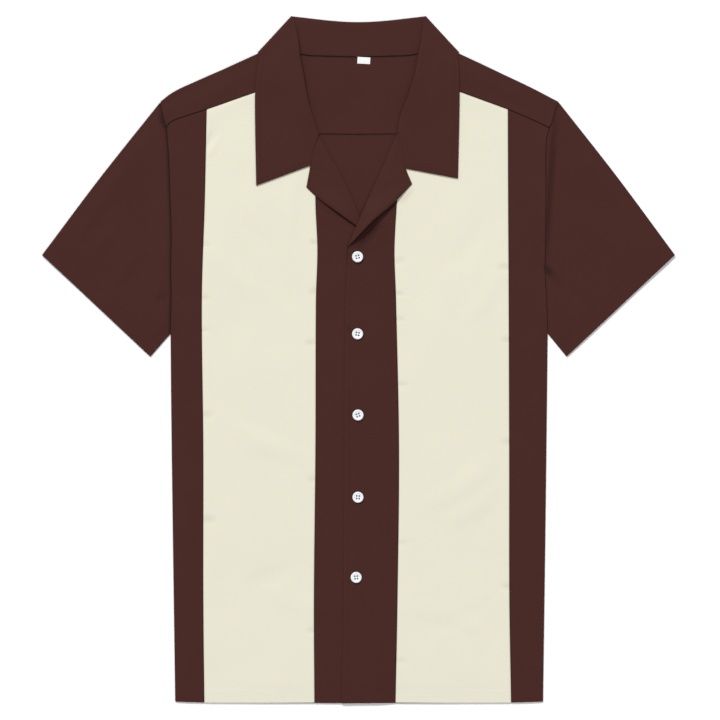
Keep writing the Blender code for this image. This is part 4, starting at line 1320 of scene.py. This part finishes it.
def addCollarHalf(bm, side):
    sign = side.sign
    rollBackLine, rollFront = through(rollBack), through(side.rollFront)
    corner, shoulder = rollBackLine(1.0), Vector(leafBack[-1])
    neckCorner = Vector(body["shoulderNeck"]) + Vector(collar["neckCorner"])
    neckBackLine = turnedTo(drawnIn(through(neckBack), rollBackLine, collar["seamGap"]), neckCorner)
    neckFront = backwards(joined(through(neckYoke), collar["yokeShare"], through(side.neckFront)))
    neckFront = backwards(turnedTo(drawnIn(neckFront, backwards(rollFront), collar["seamGap"]), neckCorner))
    neckEnd = through(side.neckFront)(1.0) + Vector((0.0, collar["seamGap"]))
    neckFront = endingAt(neckFront, neckCorner, neckEnd)
    across = straight(neckBackLine(1.0), corner)
    wrap = straight(corner, shoulder)
    outerEdge, frontEdge = collarEdges(side)

    def leafHeight(u, v, x, y):
        # stands off at the roll, and is crisp and a little full between its stitching and its edge
        point = Vector((sign * x, y))
        gap = min(toLine(point, outerEdge(0.5), outerEdge(1.0)), toLine(point, side.point, frontEdge(1.0)))
        loft = collar["loft"] * math.sin(v * math.pi) * (1.0 - u) ** 2
        full = collar["leafLift"] + collar["edgePuff"] * ramp(gap / collar["puffRun"])
        full += beside(abs(gap - collar["stitch"]), "collarStitch")
        return upperHeight(x, y) + cloth["ply"] + loft + full * ramp(v / collar["puffShare"])

    cornerHeight = (cloth["lowest"] + leafHeight(0.0, 0.0, sign * corner.x, corner.y)) / 2
    neckX, neckY = sign * neckCorner.x, neckCorner.y
    neckCornerHeight = (lowerHeight(neckX, neckY) + upperHeight(neckX, neckY)) / 2

    def standBack(u, v):
        middle = straight(neckBackLine(0.0), rollBackLine(0.0))
        point = patch(u, v, middle, across, neckBackLine, rollBackLine)
        share = ramp(u * 4.0 - 3.0)
        start = mixed(lowerHeight(sign * point.x, point.y) + collar["standLift"], neckCornerHeight, share)
        end = mixed(collar["backRollHeight"], cornerHeight, share)
        return Vector((sign * point.x, point.y, mixed(start, end, v)))

    def standFront(u, v):
        point = patch(u, v, across, straight(neckFront(1.0), rollFront(1.0)), neckFront, rollFront)
        share = ramp(u * 6.0)
        flat = upperHeight(sign * point.x, point.y) + collar["standLift"]
        start = mixed(neckCornerHeight, flat, share)
        end = mixed(cornerHeight, flat, share)
        return Vector((sign * point.x, point.y, mixed(start, end, v)))

    def leafBackPlace(u, v):
        point = patch(u, v, straight(rollBackLine(0.0), leafBack[0]), wrap, rollBackLine, through(leafBack))
        return Vector((sign * point.x, point.y, cloth["lowest"]))

    gorge = moved(through(side.gorge), *collar["gorgeShift"])
    gorgeEnd = joined(gorge, collar["gorgeShare"], straight(gorge(1.0), side.point))
    gorgeEnd = turnedFrom(gorgeEnd, rollFront(1.0), collar["gorgeTurn"])

    def leafFrontPlace(u, v):
        point = patch(u, v, rollFront, outerEdge, wrap, gorgeEnd)
        x = sign * point.x
        return Vector((x, point.y, leafHeight(u, v, x, point.y)))

    def inward(v):
        run = rollFront(min(1.0, v + 0.01)) - rollFront(max(0.0, v - 0.01))
        return Vector((run.y, -run.x)).normalized()

    steps = even(cloth["foldSteps"])
    backColumns = stops(collar["backWidth"])
    neckRows = stops(collar["frontLength"], cell=collar["neckCell"])
    standRows = stops(collar["standHeight"], start=cloth["shortRim"])
    leafColumns = joinedStops(stops(collar["gorgeWidth"], cell=collar["leafCell"]), collar["gorgeShare"],
                              stops(collar["leafWidth"], end=collar["leafRim"], cell=collar["leafCell"]))
    wrapOut = outwardOf(corner, shoulder)
    addSheet(bm, backColumns, standRows, standBack)
    addSheet(bm, neckRows, standRows, standFront)
    addSheet(bm, backColumns, leafColumns, leafBackPlace)
    addSheet(bm, leafColumns, neckRows, leafFrontPlace)
    addSheet(bm, steps, backColumns,
             turnPlace(sign, rollBackLine, lambda v: Vector((0.0, 1.0)), lambda v: cloth["lowest"],
                       lambda v: standBack(v, 1.0).z))
    addSheet(bm, steps, neckRows,
             turnPlace(sign, rollFront, inward, lambda v: standFront(v, 1.0).z,
                       lambda v: leafFrontPlace(0.0, v).z))
    addSheet(bm, steps, leafColumns,
             turnPlace(sign, wrap, lambda v: wrapOut, lambda v: cloth["lowest"],
                       lambda v: leafFrontPlace(v, 0.0).z))


label = {
    "width": 15.0, "height": 7.8, "place": (6.2, 349.6), "turn": math.radians(-3.0),
    "wall": 0.45, "rimBevel": 0.12, "cell": 0.8, "rim": (0.0, 0.5, 1.1),
    "above": 0.32, "bow": 0.18, "bowRun": 0.3,
    "edge": 0.9, "stitchEnd": 0.6,
    "dropFrom": 3.0,             # above the back of the neck
    "seamHeight": 2.42,          # where the tape passes over the neck seam
}


def buildLabel(under):
    surface = surfaceOf(under)
    bm = bmesh.new()
    turn = Matrix.Rotation(label["turn"], 2)
    width, height = label["width"], label["height"]

    def onYoke(x, y):
        return turn @ Vector((x, y)) + Vector(label["place"])

    def place(u, v):
        point = onYoke((u - 0.5) * width, (v - 0.5) * height)
        hit = surface.ray_cast(Vector((*point, label["dropFrom"])) * mm, down)[0]
        base = label["seamHeight"] if hit is None else hit.z / mm
        bow = label["bow"] * math.sin(u * math.pi) * ramp(min(v, 1.0 - v) / label["bowRun"])
        return Vector((*point, base + label["above"] + bow))

    rim, cell = label["rim"], label["cell"]
    columns, rows = (stops(size, start=rim, end=rim, cell=cell) for size in (width, height))
    addSheet(bm, columns, rows, place)
    bmesh.ops.recalc_face_normals(bm, faces=bm.faces)
    mapGrain(bm, turn.inverted())
    piece = pieceFrom("neck_label", bm, labelMaterial())
    addWall(piece, label["wall"], label["rimBevel"])
    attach(piece, "root")
    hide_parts("label")
    ends = []
    for x in (label["edge"] - width / 2, width / 2 - label["edge"]):
        reach = height / 2 - label["stitchEnd"]
        ends.append(straight(onYoke(x, -reach), onYoke(x, reach)))
    whiteThread = threadMaterial("white thread", finish["labelThread"])
    sew("neck_label_stitching", piece, ends, whiteThread)


Button = namedtuple("Button", "x y turn")
button = {
    "radius": 6.5, "thickness": 2.6, "dishFloor": 1.85, "holeRadius": 1.05, "holeOffset": 1.5,
    "spinSteps": 48, "holeSides": 20, "sharpAngle": 42.0,
    # half section through the middle: distance out, height
    "section": (
        (0.0, 0.15), (3.9, 0.15), (4.9, 0.0), (5.8, 0.25), (6.35, 0.8), (6.5, 1.3), (6.38, 1.85),
        (6.0, 2.3), (5.5, 2.6), (5.0, 2.58), (4.65, 2.38), (4.2, 2.05), (3.6, 1.85), (0.0, 1.75),
    ),
    "clearance": 0.12, "seatPoints": 12, "dropFrom": 100.0,
    "barRadius": 0.14, "strand": 0.17, "barSpare": 0.5, "barLift": 0.02,
    "legShare": 0.72, "legDrop": 0.35, "legSpare": 0.3, "legRadii": (0.3, 0.26),
    "places": (
        Button(-1.1, 120.0, 12.0), Button(-1.1, 30.0, -8.0), Button(-0.6, -64.8, 20.0),
        Button(-0.6, -160.8, -4.0), Button(-2.7, -254.4, 6.0),
    ),
}


def seatOf(place, clothBelow):
    # the button lies on the highest cloth under its rim
    heights = []
    for index in range(button["seatPoints"]):
        angle = math.tau * index / button["seatPoints"]
        x = place.x + button["radius"] * math.cos(angle)
        y = place.y + button["radius"] * math.sin(angle)
        hit = clothBelow.ray_cast(Vector((x, y, button["dropFrom"])) * mm, down)[0]
        heights.append(hit.z / mm)
    bottom = Vector((place.x, place.y, max(heights) + button["clearance"])) * mm
    return Matrix.Translation(bottom) @ Matrix.Rotation(math.radians(place.turn), 4, "Z")


def cutHoles(piece, seat, offsets):
    holes = bmesh.new()
    radius, depth = button["holeRadius"] * mm, 4 * button["thickness"] * mm
    for offset in offsets:
        bmesh.ops.create_cone(holes, cap_ends=True, segments=button["holeSides"], radius1=radius,
                              radius2=radius, depth=depth, matrix=seat @ Matrix.Translation(offset * mm))
    cutter = pieceFrom("holes", holes)
    cut = piece.modifiers.new("holes", "BOOLEAN")
    cut.solver = "EXACT"
    cut.object = cutter
    bpy.context.view_layer.update()
    evaluated = piece.evaluated_get(bpy.context.evaluated_depsgraph_get())
    made = bpy.data.meshes.new_from_object(evaluated)
    piece.modifiers.clear()
    piece.data = made
    bpy.data.objects.remove(cutter, do_unlink=True)
    return made


def buildThread(name, seat, offsets, sewing):
    # two parallel bars through the holes, each of two strands, and the legs below them
    bm = bmesh.new()
    top = button["dishFloor"] + button["barLift"]
    for first, second in ((offsets[0], offsets[1]), (offsets[3], offsets[2])):
        for strand in (-button["strand"], button["strand"]):
            middle = (first + second) / 2 + Vector((0.0, strand, top))
            length = (second - first).length + button["barSpare"]
            size = Vector((button["barRadius"], button["barRadius"], length / 2)) * mm
            bar = Matrix.Translation(middle * mm) @ Matrix.Rotation(math.pi / 2, 4, "Y")
            bmesh.ops.create_uvsphere(bm, u_segments=8, v_segments=8, radius=1.0,
                                      matrix=seat @ bar @ Matrix.Diagonal((*size, 1.0)))
    low, high = (radius * mm for radius in button["legRadii"])
    depth = (top + button["legSpare"]) * mm
    for offset in offsets:
        leg = offset * button["legShare"] + Vector((0.0, 0.0, top / 2 - button["legDrop"]))
        bmesh.ops.create_cone(bm, cap_ends=True, segments=10, radius1=low, radius2=high, depth=depth,
                              matrix=seat @ Matrix.Translation(leg * mm))
    for face in bm.faces:
        face.smooth = True
    sewn = pieceFrom(name, bm, sewing)
    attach(sewn, "root")


def buildButton(number, place, clothBelow, resin, sewing):
    bm = bmesh.new()
    verts = [bm.verts.new(Vector((out, 0.0, height)) * mm) for out, height in button["section"]]
    edges = [bm.edges.new(pair) for pair in zip(verts, verts[1:])]
    bmesh.ops.spin(bm, geom=verts + edges, axis=(0.0, 0.0, 1.0), cent=(0.0, 0.0, 0.0), angle=math.tau,
                   steps=button["spinSteps"], use_merge=True)
    bmesh.ops.remove_doubles(bm, verts=bm.verts, dist=cloth["weld"] * mm)
    bmesh.ops.recalc_face_normals(bm, faces=bm.faces)
    seat = seatOf(place, clothBelow)
    bmesh.ops.transform(bm, matrix=seat, verts=bm.verts)
    piece = pieceFrom("button_" + str(number) + "_resin", bm)
    offset = button["holeOffset"]
    offsets = [Vector((x, y, 0.0)) for x, y in
               ((offset, offset), (-offset, offset), (-offset, -offset), (offset, -offset))]
    made = cutHoles(piece, seat, offsets)
    made.materials.clear()
    made.materials.append(resin)
    made.shade_smooth()
    made.set_sharp_from_angle(angle=math.radians(button["sharpAngle"]))
    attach(piece, "root")
    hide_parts("button_" + str(number))
    buildThread("button_" + str(number) + "_thread", seat, offsets, sewing)


buildBack()
print("back laid")
yoke = buildYoke()
print("yoke folded over the shoulders")
centres = {}
for sideName, side in sides.items():
    buildFrontSide(sideName, side)
    buildFrontPanel(sideName, side)
    centres[sideName] = buildFrontCentre(sideName, side)
    buildSleeve(sideName, side)
print("fronts and sleeves laid")
buildCollar()
print("collar turned")
buildLabel(yoke)
clothBelow = surfaceOf(centres["left"])
resin, sewing = buttonMaterial(), threadMaterial("button thread", finish["buttonThread"])
for number, place in enumerate(button["places"], start=1):
    buildButton(number, place, clothBelow, resin, sewing)
print("label and buttons sewn on")

studio = {
    "floorSize": 12.0,
    "world": 0.44,
    "keyPlace": (-3.2, 8.4, 9.2), "keySize": 2.7, "keyPower": 1290.0,
    "fillPlace": (2.0, -2.6, 5.0), "fillSize": 3.0, "fillPower": 66.0,
    "cameraPlace": (0.00175, -0.0005, 3.0), "lens": 128.2, "sensor": 36.0, "clip": (0.05, 50.0),
}
floorGrid = bmesh.new()
bmesh.ops.create_grid(floorGrid, x_segments=2, y_segments=2, size=studio["floorSize"] / 2)
pieceFrom("floor", floorGrid, floorMaterial())

world = bpy.data.worlds.new("studio")
scene.world = world
world.use_nodes = True
background = world.node_tree.nodes["Background"]
background.inputs["Color"].default_value = (1.0, 1.0, 1.0, 1.0)
background.inputs["Strength"].default_value = studio["world"]

for lightName in ("key", "fill"):
    light = bpy.data.lights.new(lightName, "AREA")
    light.energy = studio[lightName + "Power"]
    light.size = studio[lightName + "Size"]
    lamp = bpy.data.objects.new(lightName, light)
    scene.collection.objects.link(lamp)
    lamp.location = studio[lightName + "Place"]
    lamp.rotation_mode = "QUATERNION"
    lamp.rotation_quaternion = (-Vector(studio[lightName + "Place"])).to_track_quat("-Z", "Y")

cameraData = bpy.data.cameras.new("camera")
cameraData.sensor_width = studio["sensor"]
cameraData.lens = studio["lens"]
cameraData.clip_start, cameraData.clip_end = studio["clip"]
camera = bpy.data.objects.new("camera", cameraData)
scene.collection.objects.link(camera)
camera.location = studio["cameraPlace"]
scene.camera = camera
print("studio ready")
